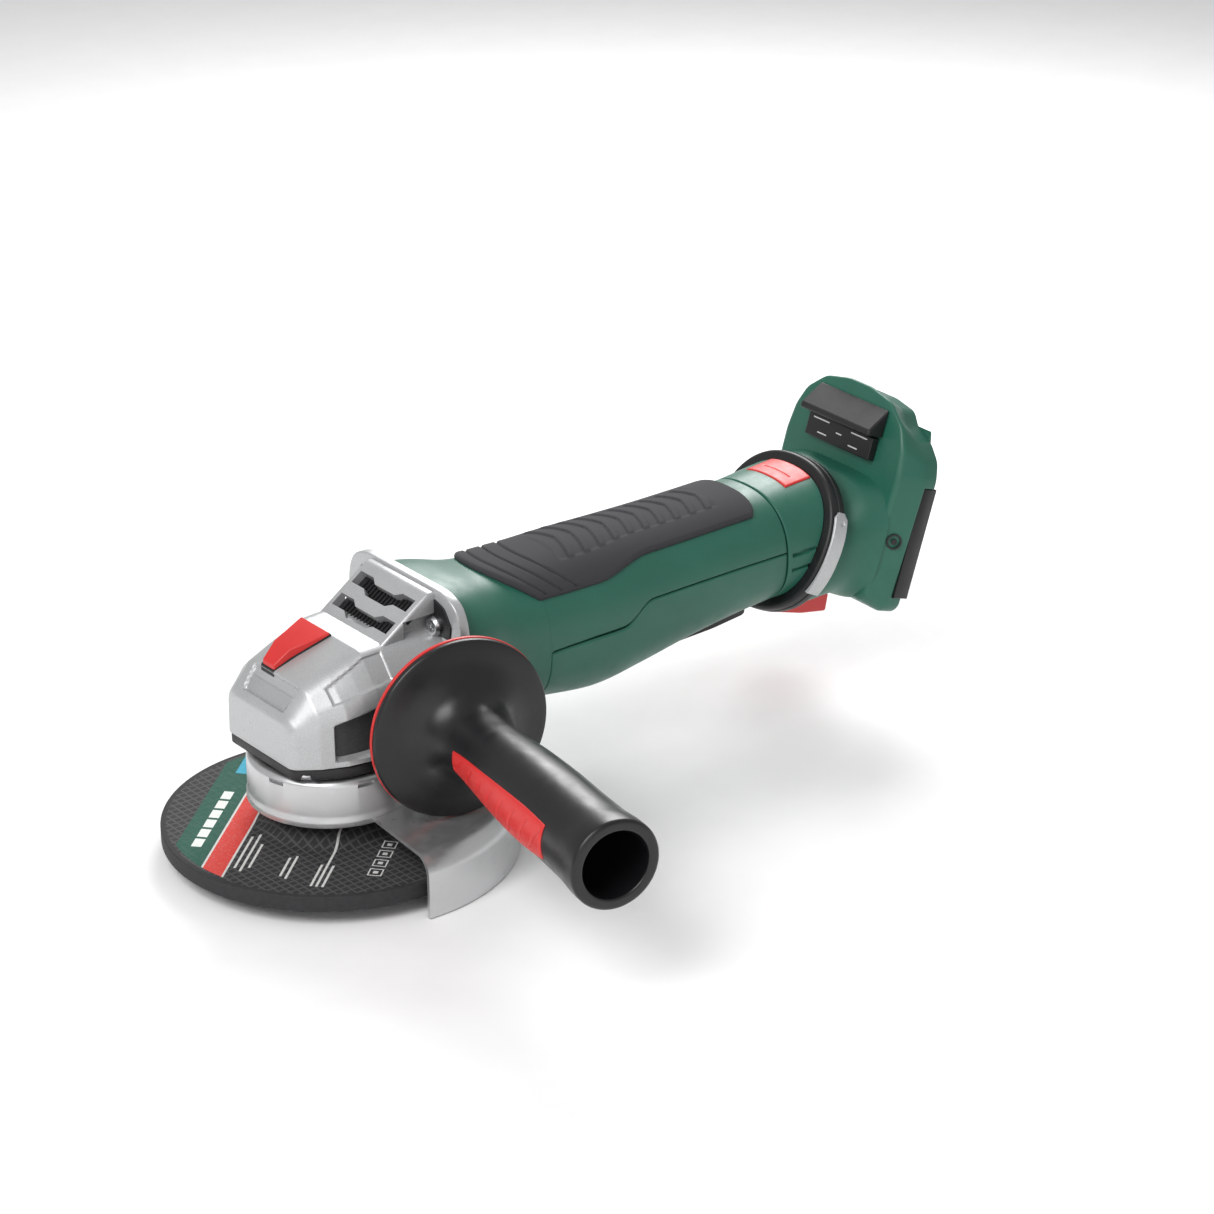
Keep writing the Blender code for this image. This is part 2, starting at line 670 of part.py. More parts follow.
def handle_axis(side):
    """Places along the handle's axis, out from the head's side wall, on one side of the tool."""
    sweep = math.radians(HANDLE_SWEEP)
    base = Vector((HANDLE_X + math.tan(sweep) * 12.0, HANDLE_Y + 12.0, HANDLE_Z))

    def at(distance):
        point = base + Vector((-math.sin(sweep), -math.cos(sweep), 0)) * distance
        return (point.x, -side * point.y, point.z) if side > 0 else tuple(point)

    return at


def lock_pin_at(z):
    return (BUTTON_BACK - 11.5, BUTTON_Y, z)


def button_outline(grow=0.0, drop=0.0):
    """The spindle lock button from the side, as (x, z): a wedge that is flush at its back."""
    back, long = BUTTON_BACK, BUTTON_LONG
    return (
        (back + grow, 84.0), (back - 14.5, 80.2), (back - long - grow, 75.0 + grow),
        (back - long - grow, 72.5 + drop),
        (back - 10.5, 76.5 + drop), (back + grow, 79.0 + drop),
    )


def make_lock_button():
    place = lock_pin_at(77.0)
    outline = button_outline()
    near, far = BUTTON_Y - BUTTON_HALF, BUTTON_Y + BUTTON_HALF
    button = solid("spindle_lock_button", prism(outline, "Y", near, far), "red", origin=place)
    for side in (-1, 1):
        back = (BUTTON_BACK + 3, BUTTON_Y + side * BUTTON_HALF)
        front = (BUTTON_BACK - BUTTON_LONG - 3, BUTTON_Y + side * (BUTTON_HALF - 5.5))
        far_side = BUTTON_Y + side * (BUTTON_HALF + 8)
        wedge = [back, front, (front[0], far_side), (back[0], far_side)]
        cut(button, prism(wedge, "Z", 60, 95))
    return button


def make_lock_pin():
    low, top = WEB_Z + 1.0, 75.0
    pin = rod(LOCK_PIN, lock_pin_at(low), lock_pin_at(top), 12)
    return solid("lock_pin", pin, "steel", origin=lock_pin_at(low))


def coil(name, centre, radius, low, high, turns):
    """A compression spring that stands on its end, as a bevelled poly spline."""
    curve = bpy.data.curves.new(name, "CURVE")
    curve.dimensions = "3D"
    curve.bevel_depth = SPRING_WIRE * MM
    curve.bevel_resolution = 0
    curve.use_fill_caps = True
    spline = curve.splines.new("POLY")
    count = turns * 8 + 1
    spline.points.add(count - 1)
    for i in range(count):
        turn = i * math.pi / 4
        z = low + (high - low) * i / (count - 1)
        place = (centre[0] + radius * math.cos(turn), centre[1] + radius * math.sin(turn), z)
        spline.points[i].co = (*(Vector(place) * MM), 1.0)
    obj = bpy.data.objects.new(name, curve)
    curve.materials.append(finish("steel"))
    PARTS.objects.link(obj)
    return obj


# ---- gears and bearings ----
def toothed(teeth, inner, outer, flank):
    """Angles and radii of a gear's outline: a narrow top and a wide root for each tooth."""
    points = []
    for i in range(teeth):
        for part, radius in ((-0.32, inner), (0.0, outer), (0.32, inner)):
            points.append(((i + flank + part) * 2 * math.pi / teeth, radius))
    return points


def make_crown_gear():
    """A disc with bevel teeth on its upper rim, which point at the crossing of the two axes."""
    low, web = HEAD_LOW + 1.0, WEB_Z
    hub = SPINDLE_SEAT + GAP
    outer, inner = CROWN_RADIUS + TOOTH_LENGTH / 2, CROWN_RADIUS - TOOTH_LENGTH / 2
    rise = AXIS_Z - PINION_TEETH / CROWN_TEETH * CROWN_RADIUS
    profile = (
        (hub, web + 3), (10.5, web + 3), (10.5, web), (inner - 1.5, web), (inner - 0.5, tooth_root(inner)),
        (outer, tooth_root(outer)), (outer, low + 4), (14.0, low), (hub, low),
    )
    gear = turned("crown_gear", profile, "steel", sides=36)
    rings = []
    for radius in (inner + 0.3, outer - 0.4):
        ring = []
        for angle, level in toothed(CROWN_TEETH, 0.0, 1.0, 0.0):
            z = tooth_root(radius) + (TOOTH_HIGH * level * radius / CROWN_RADIUS if level else -1.0)
            ring.append((radius * math.cos(angle), radius * math.sin(angle), z))
        rings.append(ring)
    base = [[(x, y, web - 3) for x, y, z in ring] for ring in rings]
    join(gear, loft([rings[0], rings[1], base[1], base[0]], wrap=True))
    for i in range(4):
        x, y, _ = lock_pin_at(0)
        spot = Matrix.Rotation(i * math.pi / 2, 3, "Z") @ Vector((x, y, 0))
        cut(gear, rod(LOCK_HOLE, (spot.x, spot.y, web - 5), (spot.x, spot.y, web + 6), 10))
    return gear


def tooth_root(radius):
    """Height of the crown gear's tooth roots: a cone whose point is where the axes cross."""
    ratio = PINION_TEETH / CROWN_TEETH
    return AXIS_Z - (ratio * radius) - TOOTH_HIGH * 0.62 * radius / CROWN_RADIUS


def make_pinion():
    """A small bevel gear on the motor shaft, in mesh behind the spindle."""
    start, end = CROWN_RADIUS - TOOTH_LENGTH / 2, CROWN_RADIUS + TOOTH_LENGTH / 2
    ratio = PINION_TEETH / CROWN_TEETH
    rings = []
    for x in (start, end):
        pitch = ratio * x
        high = TOOTH_HIGH * x / CROWN_RADIUS
        ring = []
        for angle, radius in toothed(PINION_TEETH, pitch - high * 0.62, pitch + high * 0.38, 0.5):
            turn = angle - math.pi / 2
            ring.append((x, radius * math.cos(turn), AXIS_Z + radius * math.sin(turn)))
        rings.append(ring)
    gear = solid("pinion_gear", loft(rings), "steel", origin=(CROWN_RADIUS, 0, AXIS_Z))
    cut(gear, rod(3.0 + 0.1, (start - OVERCUT, 0, AXIS_Z), (end + OVERCUT, 0, AXIS_Z), SMALL_ROUND))
    return gear


def ring_part(name, inner, outer, low, high, material, centre=(0, 0), axis="Z", sides=24):
    """A plain ring about an upright axis, or about the motor's axis."""
    profile = ((inner, high), (outer, high), (outer, low), (inner, low))
    if axis == "Z":
        return turned(name, profile, material, sides=sides, origin=(*centre, 0))
    return turned(name, profile, material, sides=sides, origin=(0, 0, AXIS_Z), axis=(1, 0, 0))


def make_bearings():
    low = COVER_LOW - 9.0
    ring_part("spindle_bearing", SPINDLE_SEAT + PRESS, BEARING_RADIUS, low + GAP, low + BEARING_HIGH, "steel")
    ring_part("needle_bearing", 5.1, NEEDLE_RADIUS, SPINDLE_TOP - NEEDLE_HIGH, SPINDLE_TOP - 0.5, "steel")
    ring_part("front_motor_bearing", SHAFT_RADIUS + PRESS, 10.5, 39.2, 45.8, "steel", axis="X")
    end = REAR_BEARING_X + REAR_BEARING_LONG
    ring_part("rear_motor_bearing", SHAFT_RADIUS + PRESS, 9.0, REAR_BEARING_X, end, "steel", axis="X")


def make_bearing_plate():
    """The disc between gears and motor, which holds the motor's front bearing."""
    profile = ((10.8, 44.5), (22.6, 44.5), (22.6, 40.2), (18.0, 38.6), (10.8, 38.6))
    return turned("bearing_plate", profile, "silver", sides=ROUND, origin=(0, 0, AXIS_Z), axis=(1, 0, 0))


# ---- the motor ----
def motor_radius():
    """The stator's radius: it fills the housing above the axis, less the wall and a clearance."""
    room = []
    for x in (MOTOR_X, (MOTOR_X + MOTOR_END) / 2, MOTOR_END):
        middle, _, half_z, _ = body_section(x)
        room.append(middle + half_z - SHELL_WALL - AXIS_Z)
    return min(room) - MOTOR_CLEAR


def make_motor():
    """The shaft, the rotor's iron and the wound stator."""
    end = REAR_BEARING_X + REAR_BEARING_LONG + 1.0
    shaft = ((0, end), (SHAFT_RADIUS, end), (SHAFT_RADIUS, 24.5), (3.0, 24.5), (3.0, 16.5), (0, 16.5))
    place = (0, 0, AXIS_Z)
    turned("motor_shaft", shaft, "steel", sides=SMALL_ROUND, origin=place, axis=(1, 0, 0), closed=False)
    ring_part("rotor_core", SHAFT_RADIUS + PRESS, 11.5, MOTOR_X + 1, MOTOR_END - 1, "core", axis="X")
    ring_part("stator", 12.2, motor_radius(), MOTOR_X, MOTOR_END, "copper", axis="X", sides=ROUND)


def make_fan():
    """A disc with radial blades, which draws air along the motor."""
    back = FAN_X + 2.0
    bore = SHAFT_RADIUS + PRESS
    hub = FAN_X + 8
    profile = ((bore, hub), (7.0, hub), (7.0, back), (FAN_RADIUS, back), (FAN_RADIUS, FAN_X), (bore, FAN_X))
    fan = turned("cooling_fan", profile, "black", sides=ROUND, origin=(0, 0, AXIS_Z), axis=(1, 0, 0))
    for i in range(FAN_BLADES):
        blade = block((back - 0.6, -0.7, 6.4), (back + 6.5, 0.7, FAN_RADIUS - 0.6))
        turn = Matrix.Rotation(i * 2 * math.pi / FAN_BLADES, 4, "X")
        bmesh.ops.transform(blade, matrix=Matrix.Translation((0, 0, AXIS_Z)) @ turn, verts=blade.verts)
        join(fan, blade)
    return fan


# ---- the body ----
def seam_line(rear, drop=0.0):
    """The seam between the upper and lower shells from the side, as (x, z), lowered by drop."""
    low, high = SPLIT_LOW - drop, SPLIT_HIGH - drop
    return [(SPLIT_FRONT, low), (SPLIT_RAMP, low), (SPLIT_RAMP + RAMP_LONG, high), (rear, high)]


def make_motor_housing():
    """The green housing: whole in front, and the part above the seam behind SPLIT_FRONT."""
    housing = solid("motor_housing", loft(body_rings(body_stops(BODY_FRONT, SEAM_X))), "green")
    inner = body_rings(body_stops(47.0, SEAM_X + OVERCUT), SHELL_WALL)
    cut(housing, loft(inner))
    cut(housing, rod(23.0, (BODY_FRONT - OVERCUT, 0, AXIS_Z), (48.0, 0, AXIS_Z), ROUND))
    rear = SEAM_X + OVERCUT
    below = [(SPLIT_FRONT, 10), *seam_line(rear), (rear, 10)]
    cut(housing, prism(below, "Y", -45, 45))
    for y, z in case_screw_places():
        end = (PLATE_X + CASE_SCREW_LONG + 1.0, y, z)
        cut(housing, rod(SCREW_RADIUS + GAP, (BODY_FRONT - OVERCUT, y, z), end, 10))
    return housing


def make_lower_shell():
    """The part of the body below the seam, with the paddle's opening and ears for its pin."""
    shell = solid("lower_shell", loft(body_rings(body_stops(SPLIT_FRONT + GAP, SEAM_X))), "green")
    rear = SEAM_X + OVERCUT
    cut(shell, loft(body_rings(body_stops(SPLIT_FRONT - OVERCUT, rear), SHELL_WALL)))
    front = SPLIT_FRONT - OVERCUT
    above = [(front, 110), (front, SPLIT_LOW - GAP), *seam_line(rear, GAP)[1:], (rear, 110)]
    cut(shell, prism(above, "Y", -45, 45))
    x, z = PADDLE_PIVOT
    half = PADDLE_HALF + PADDLE_GAP
    cut(shell, block((x - 7.5, -half, 20), (PADDLE_REAR + 1.2, half, 52)))
    for side in (-1, 1):
        join(shell, rod(PADDLE_PIN + 2.5, (x, side * (half + PRESS), z), (x, side * EAR_OUT, z), SMALL_ROUND))
        cut(shell, rod(PADDLE_PIN + GAP, (x, 0, z), (x, side * (PADDLE_HALF + 4.2), z), 12))
    return shell


def rear_rings():
    """From the round seam to the leaning front of the intake ring."""
    start = SEAM_X + 0.5
    middle, half_y, half_z, squareness = body_section(SEAM_X)
    end = oval(NECK_HALF_Y + 0.5, NECK_HALF_Z + 0.5, 2.3)
    return [
        [(start, y, middle + z) for y, z in oval(half_y, half_z, squareness)],
        [ring_frame() @ Vector((-RING_THICK / 2 - GAP, y, z)) for y, z in end],
    ]


def make_rear_housing():
    """The short neck between the seam and the intake ring."""
    start = SEAM_X + 0.5
    middle, half_y, half_z, squareness = body_section(SEAM_X)
    frame = ring_frame()
    neck = solid("rear_housing", loft(rear_rings()), "green")
    wall = SHELL_WALL
    near = oval(half_y - wall, half_z - wall, squareness)
    far = oval(NECK_HALF_Y - wall, NECK_HALF_Z - wall, 2.3)
    inner = [[(start - OVERCUT, y, middle + z) for y, z in near]]
    inner.append([frame @ Vector((-RING_THICK / 2 + OVERCUT, y, z)) for y, z in far])
    cut(neck, loft(inner))
    for z in (AXIS_Z - 0.5, AXIS_Z - 6.5):
        cut(neck, block((start + 3, -40, z - 0.8), (start + 12, 40, z + 0.8)))
    low = (start + LENS_START - GAP, -LENS_HALF - GAP, LENS_LOW - GAP)
    cut(neck, block(low, (start + 30.0, LENS_HALF + GAP, 104)))
    return neck


def make_soft_grip():
    """The soft pad over the top of the body: a bent strip that follows the housing."""
    rings = []
    front, rear = 62.5, SEAM_X - 8.0
    for x in [front, 66.0, *body_stops(70.0, rear)[1:]]:
        middle, half_y, half_z, squareness = body_section(x)
        power = 2.0 / squareness
        thick = 1.2 if x in (front, rear) else 2.0
        outer, inner = [], []
        for degree in np.linspace(38, 142, 13):
            c, s = math.cos(math.radians(degree)), math.sin(math.radians(degree))
            y = math.copysign(abs(c) ** power, c)
            z = abs(s) ** power
            edge = 0.4 if degree in (38, 142) else 1.0
            outer.append((x, y * (half_y + thick * edge), middle + z * (half_z + thick * edge)))
            inner.append((x, y * (half_y + GAP), middle + z * (half_z + GAP)))
        rings.append(outer + inner[::-1])
    return solid("soft_grip", loft(rings), "rubber")


# ---- the switch ----
def make_paddle():
    x, z = PADDLE_PIVOT
    rear = PADDLE_REAR
    outline = (
        (x - 6, z + 3.5), (x - 6, 37.0), (x - 1, 34.6), (x + 25, 38.8), (rear - 16, 39.6), (rear, 41.2),
        (rear, z + 3.5), (x + 10, z + 3.5),
    )
    paddle = solid("paddle", prism(outline, "Y", -PADDLE_HALF, PADDLE_HALF), "black", origin=(x, 0, z))
    cut(paddle, rod(PADDLE_PIN + GAP, (x, -PADDLE_HALF - OVERCUT, z), (x, PADDLE_HALF + OVERCUT, z), 12))
    cut(paddle, block((LOCK_OFF_X - 5, -4.3, 30), (LOCK_OFF_X + 12, 4.3, 60)))
    return paddle


def make_paddle_pin():
    x, z = PADDLE_PIVOT
    reach = PADDLE_HALF + 3.9
    return solid("paddle_pin", rod(PADDLE_PIN, (x, -reach, z), (x, reach, z), 12), "steel")


def make_lock_off():
    """The small lever in the paddle that blocks it until it is tipped forward."""
    x = LOCK_OFF_X
    outline = (
        (x - 3.8, 42.0), (x + 1, 37.6), (x + 4.5, 35.6), (x + 7.5, 36.4), (x + 6.5, 41.0), (x + 4.5, 50.0),
        (x + 1.5, 50.0),
    )
    return solid("lock_off_lever", prism(outline, "Y", -3.9, 3.9), "black", origin=(x + 3, 0, 44.0))


def make_switch():
    """The switch module, which stands over the paddle's rear half."""
    low, high = (PADDLE_REAR - 54, -8, SWITCH_LOW), (PADDLE_REAR - 8, 8, SWITCH_HIGH)
    module = solid("switch_module", block(low, high), "black")
    mouth, end = (PLUNGER_X, 0, SWITCH_LOW - OVERCUT), (PLUNGER_X, 0, SWITCH_LOW + 7.5)
    cut(module, rod(PLUNGER_RADIUS + GAP, mouth, end, 12))


def make_plunger():
    """The switch's button, which the paddle pushes up."""
    low, high = (PLUNGER_X, 0, 47.6), (PLUNGER_X, 0, SWITCH_LOW + 3.0)
    solid("switch_plunger", rod(PLUNGER_RADIUS, low, high, 12), "red", origin=low)


def make_electronics():
    """The control board over the switch, with a capacitor on it."""
    low, high = (PADDLE_REAR - 68, -18, BOARD_LOW), (PADDLE_REAR - 4, 18, BOARD_LOW + BOARD_THICK)
    solid("control_board", block(low, high), "board")
    height = BOARD_LOW + BOARD_THICK + 5.2
    can = rod(4.5, (PADDLE_REAR - 40, -9, height), (PADDLE_REAR - 16, -9, height), SMALL_ROUND)
    solid("capacitor", can, "grey")


# ---- the intake ring and the red pieces ----
def make_intake_ring():
    frame = ring_frame()
    half = RING_THICK / 2
    rings = []
    outside = oval(RING_HALF_Y, RING_HALF_Z, RING_SQUARE)
    inside = oval(NECK_HALF_Y - 3, NECK_HALF_Z - 3, RING_SQUARE)
    for (y, z), (v, w) in zip(outside, inside):
        scale = 1 - 1.0 / RING_HALF_Y
        section = [
            (-half, y * scale, z * scale), (-half + 1.5, y, z), (half - 1.5, y, z),
            (half, y * scale, z * scale), (half, v, w), (-half, v, w),
        ]
        rings.append([frame @ Vector(point) for point in section])
    return solid("intake_ring", loft(rings, wrap=True), "black")


def make_ring_plate():
    """The bright plate that is bent round the handle side of the intake ring."""
    frame = ring_frame()
    rings = []
    for turn in np.linspace(PLATE_TOP_TURN, PLATE_LOW_TURN, 11):
        c, s = math.cos(math.radians(turn)), math.sin(math.radians(turn))
        y = math.copysign(abs(c) ** (2.0 / RING_SQUARE), c) * RING_HALF_Y
        z = math.copysign(abs(s) ** (2.0 / RING_SQUARE), s) * RING_HALF_Z
        half = 2.4 if turn == PLATE_TOP_TURN else 3.4
        near, far = 1 + GAP / RING_HALF_Y, 1 + (GAP + 1.0) / RING_HALF_Y
        section = [
            (-half, y * near, z * near), (half, y * near, z * near),
            (half, y * far, z * far), (-half, y * far, z * far),
        ]
        rings.append([frame @ Vector(point) for point in section])
    plate = solid("ring_plate", loft(rings), "silver")
    hole = rod(1.2, (0, -RING_HALF_Y - 4, 12), (0, -RING_HALF_Y + 8, 12), 12)
    bmesh.ops.transform(hole, matrix=frame, verts=hole.verts)
    cut(plate, hole)
    return plate


def make_status_lens():
    start = SEAM_X + 0.5
    low, high = (start + LENS_START, -LENS_HALF, LENS_LOW), (start + 30.0, LENS_HALF, 104)
    lens = solid("status_lens", block(low, high), "red")
    combine(lens, solid("status_lens_shape", loft(rear_rings()), None), "INTERSECT")
    return lens


def make_catch():
    """The red catch under the neck, just behind the intake ring."""
    x = RING_X
    outline = ((x - 7.5, 40.2), (x + 19, 37.6), (x + 17.5, 30.5), (x + 5, 33.0), (x - 8.2, 37.2))
    return solid("ring_catch", prism(outline, "Y", -10, 10), "red", origin=(x - 6.5, 0, 38.8))


# ---- the battery foot ----
def foot_outline():
    """The leaning rear face from behind, as (y, height along the face)."""
    half, low, high = FOOT_HALF, FOOT_LOW, FOOT_HIGH
    right = [
        (half - 5, low), (half - 2, low + 3), (half, RAIL_HIGH), (half - 2, high - 17),
        (half - 8, high - 11), (half - 17, high - 7), (half - 21, high - 2), (6, high),
    ]
    return right + [(-y, w) for y, w in reversed(right)]


def foot_front_outline():
    """The front face's outline: narrower and higher than the rear's, so that the sides slope."""
    half, low, high = FOOT_HALF - FOOT_TAPER, FOOT_LOW + 3.5, FOOT_HIGH + FOOT_RISE
    right = [
        (half - 4, low), (half - 1, low + 2.5), (half, RAIL_HIGH - 0.5), (half - 1.5, high - 18),
        (half - 5, high - 10), (half - 9.5, high - 6), (half - 14, high - 2.7), (6, high),
    ]
    return right + [(-y, w) for y, w in reversed(right)]


def in_foot(bm):
    """A mesh moved from the foot's own leaning frame into the tool's."""
    bmesh.ops.transform(bm, matrix=foot_frame(), verts=bm.verts)
    return bm


def make_battery_foot():
    """The slab that a battery slides on, its hollow neck, the channel and the hood over it."""
    frame = foot_frame()
    ring = ring_frame()
    back = -FOOT_THICK
    front_face = [(back, y, w) for y, w in foot_front_outline()]
    rear_face = [(-0.2, y, w) for y, w in foot_outline()]
    foot = solid("battery_foot", loft([front_face, rear_face]), "green", place=frame)
    neck = [[ring @ Vector((RING_THICK / 2 + GAP, y, z)) for y, z in oval(NECK_HALF_Y, NECK_HALF_Z, 2.3)]]
    neck.append([frame @ Vector((back - 7, y, w - 11)) for y, w in oval(31, 24.0, 2.8)])
    neck.append([frame @ Vector((back + 1, y, w - 8.5)) for y, w in oval(31.5, 24, 3.6)])
    join(foot, loft(neck))
    plug = oval(NECK_HALF_Y - 5.5, NECK_HALF_Z - 5.5, 2.3)
    plug_end = -RING_THICK / 2 - 2.5
    join(foot, loft([[ring @ Vector((a, y, z)) for y, z in plug] for a in (plug_end, RING_THICK / 2 + 4)]))
    bore = oval(NECK_HALF_Y - 8, NECK_HALF_Z - 8, 2.3)
    hollow = [[ring @ Vector((a, y, z)) for y, z in bore] for a in (plug_end - OVERCUT, RING_THICK / 2)]
    for a, drop in ((back - 5, 11), (-SLOT_DEEP - 2.6, 9.5)):
        hollow.append([frame @ Vector((a, y, w - drop)) for y, w in oval(SLOT_HALF, 21, 2.8)])
    cut(foot, loft(hollow))
    out = FOOT_HALF + OVERCUT
    cut(foot, in_foot(block((-SLOT_DEEP, -SLOT_HALF, FOOT_LOW - 12), (10, SLOT_HALF, RAIL_HIGH - 3))))
    for side in (-1, 1):
        near, far = sorted((side * (SLOT_HALF - 1), side * out))
        cut(foot, in_foot(block((-SIDE_DEEP, near, RAIL_LOW - GAP), (10, far, RAIL_TOP + GAP))))
    cut(foot, in_foot(block((-SLOT_DEEP - 6, -8, 2), (0, 8, 12))))
    low = RAIL_HIGH - 0.5
    hood = ((-0.6, low), (RAIL_OUT, low), (RAIL_OUT, FOOT_HIGH - 14), (-0.6, FOOT_HIGH - 6))
    half = FOOT_HALF - 9
    join(foot, in_foot(loft([[(a, y, b) for a, b in hood] for y in (-half, half)])))
    return foot


def rail_section():
    """The rail plate's section across the battery's way in, as (depth, y)."""
    inner = SLOT_HALF - GAP
    wall = inner - RAIL_WALL
    lip = wall - LIP
    edge = FOOT_HALF - 0.6
    side, floor = -SIDE_DEEP + GAP, -SLOT_DEEP + GAP
    right = [(floor, inner), (side, inner), (side, edge), (RAIL_OUT, edge), (RAIL_OUT, lip),
             (RAIL_OUT - 2.2, lip), (RAIL_OUT - 2.2, wall), (floor + 2, wall)]
    return right + [(a, -y) for a, y in reversed(right)]


def make_rail_plate():
    """The black plate that lines the channel and carries the battery's rails."""
    rings = [[(a, y, w) for a, y in rail_section()] for w in (RAIL_LOW, RAIL_TOP)]
    plate = solid("rail_plate", loft(rings), "black", place=foot_frame())
    cut(plate, in_foot(block((-SLOT_DEEP - 3, -7.5, 2.5), (-1, 7.5, 11.5))))
    return plate


def make_contacts():
    """A block on the channel's floor with three upright blades."""
    base = -SLOT_DEEP + GAP + 2 + GAP
    holder = solid("contact_block", in_foot(block((base, -14, 1), (base + 3.0, 14, 13))), "grey")
    for index, y in enumerate((-9.0, 0.0, 9.0)):
        cut(holder, in_foot(block((base + 0.8, y - 1.0, 0), (base + 5, y + 1.0, 12))))
        blade = block((base + 1.2, y - 0.5, -3), (base + 6.0, y + 0.5, 11.6))
        solid(f"contact_blade_{index + 1}", in_foot(blade), "brass")


def make_foot_cover():
    """The sloping cover on the front of the foot's top, and the dark panel in its shade."""
    front = -FOOT_THICK - GAP
    top, low = FOOT_HIGH - 1.5, FOOT_HIGH - 13.5
    outline = ((front, top), (front - COVER_OUT, top - 10), (front - COVER_OUT, low), (front, low))
    cover = loft([[(a, y, w) for a, w in outline] for y in (-COVER_HALF, COVER_HALF)])
    solid("foot_cover", in_foot(cover), "grey")
    panel = block((front - PANEL_OUT, -PANEL_HALF, low - 9.5), (front, PANEL_HALF, low - 0.5))
    solid("display_panel", in_foot(panel), "black")


# ---- the side handle ----
def make_side_handle():
    frame = handle_frame()
    run = frame.to_3x3() @ Vector((0, 0, 1))
    profile = [
        (GRIP_HOLLOW, HANDLE_LONG), (GRIP_END, HANDLE_LONG), (GRIP_END, HANDLE_LONG - 6),
        (15.6, HANDLE_LONG - 16),
        (15.4, 70), (14.2, 46), (12.6, 27), (13.5, 16), (17.5, 9), (25.0, 5.4), (DISC_RADIUS - 1.5, 4.6),
        (DISC_RADIUS, 3.4), (DISC_RADIUS, 2.0), (DISC_RADIUS - 1.3, 2.0), (DISC_RADIUS - 1.3, 0),
        (STUD_RADIUS + GAP, 0),
        (STUD_RADIUS + GAP, 30), (0, 30),
    ]
    hollow = HANDLE_LONG - HOLLOW_DEEP
    profile = [(0, hollow), (GRIP_HOLLOW, hollow)] + profile
    grip = turned("side_handle_grip", profile, "rubber", origin=frame.translation, axis=run, closed=False)
    inner, outer = DISC_RADIUS - 1.0, DISC_RADIUS + 0.1
    rim = ((inner, 1.7), (outer, 1.7), (outer, 0.4), (inner, 0.4))
    turned("side_handle_ring", rim, "red", sides=ROUND, origin=frame.translation, axis=run)
    stud = ((0, 29), (STUD_RADIUS, 29), (STUD_RADIUS, -13.0), (STUD_RADIUS - 1, -14.0), (0, -14.0))
    place = frame.translation
    turned("side_handle_stud", stud, "steel", sides=SMALL_ROUND, origin=place, axis=run, closed=False)
    return grip


def make_handle_inlay():
    """The red strip let into the side of the grip that faces forward."""
    frame = handle_frame()
    forward = frame.to_3x3().transposed() @ Vector((-1, 0, 0))
    middle = math.degrees(math.atan2(forward.y, forward.x))
    rings = []
    up = frame.to_3x3().transposed() @ Vector((0, 0, 1))
    turn_up = 1 if math.sin(math.atan2(up.y, up.x) - math.radians(middle)) > 0 else -1
    for distance, radius, above, below in INLAY_STATIONS:
        outer, inner = [], []
        for angle in np.linspace(-below, above, 7):
            turn = math.radians(middle + turn_up * angle)
            c, s = math.cos(turn), math.sin(turn)
            outer.append(frame @ Vector(((radius + INLAY_TOP) * c, (radius + INLAY_TOP) * s, distance)))
            inner.append(frame @ Vector(((radius + INLAY_LOW) * c, (radius + INLAY_LOW) * s, distance)))
        rings.append(outer + inner[::-1])
    return solid("side_handle_inlay", loft(rings), "red")


# ---- screws ----
def make_screws():
    """Four screws through the flange into the body, and four through the cover into the gear housing."""
    head, shank, long = CASE_SCREW_HEAD, SCREW_RADIUS, CASE_SCREW_LONG
    case = ((0, 2.6), (head - 1.6, 2.6), (head, 1.2), (head, 0), (shank, 0), (shank, -long), (0, -long))
    for index, (y, z) in enumerate(case_screw_places()):
        name, place = f"gearbox_screw_{index + 1}", (PLATE_X - GAP, y, z)
        turned(name, case, "steel", sides=12, origin=place, axis=(-1, 0, 0), closed=False)
    seat = cover_screw_seat()
    head, high, long = COVER_SCREW_HEAD, COVER_SCREW_HIGH, HEAD_LOW + COVER_SCREW_DEEP - GAP - seat
    cover = ((0, high), (head - 0.2, high), (head, 1.2), (head, 0), (shank, 0), (shank, -long), (0, -long))
    for index, (x, y) in enumerate(screw_places(COVER_SCREW_X, COVER_SCREW_Y)):
        name = f"cover_screw_{index + 1}"
        turned(name, cover, "steel", sides=12, origin=(x, y, seat), axis=(0, 0, -1), closed=False)


def main():
    global PARTS, CUTTERS
    clear_scene()
    PARTS = new_collection("angle_grinder")
    CUTTERS = new_collection("cutters")
    make_spindle()
    make_clamp_nut()
    make_inner_flange()
    make_wheel()
    make_guard()
    make_guard_lever()
    make_guard_lever_pin()
    make_bearing_cover()
    make_gear_housing()
    make_lock_button()
    make_lock_pin()
    coil("lock_spring", lock_pin_at(0)[:2], SPRING_RADIUS, SPRING_LOW + SPRING_WIRE, 75.2 - SPRING_WIRE, 4)
    make_crown_gear()
    make_pinion()
    make_bearings()
    make_bearing_plate()
    make_motor()
    make_fan()
    make_motor_housing()
    make_lower_shell()
    make_rear_housing()
    make_soft_grip()
    make_paddle()
    make_paddle_pin()
    make_lock_off()
    make_switch()
    make_plunger()
    coil("paddle_spring", (PADDLE_SPRING_X, 0), 3.5, 47.6, 55.2, 4)
    make_electronics()
    make_intake_ring()
    make_ring_plate()
    make_status_lens()
    make_catch()
    make_battery_foot()
    make_rail_plate()
    make_contacts()
    make_foot_cover()
    make_side_handle()
    make_handle_inlay()
    make_screws()


main()
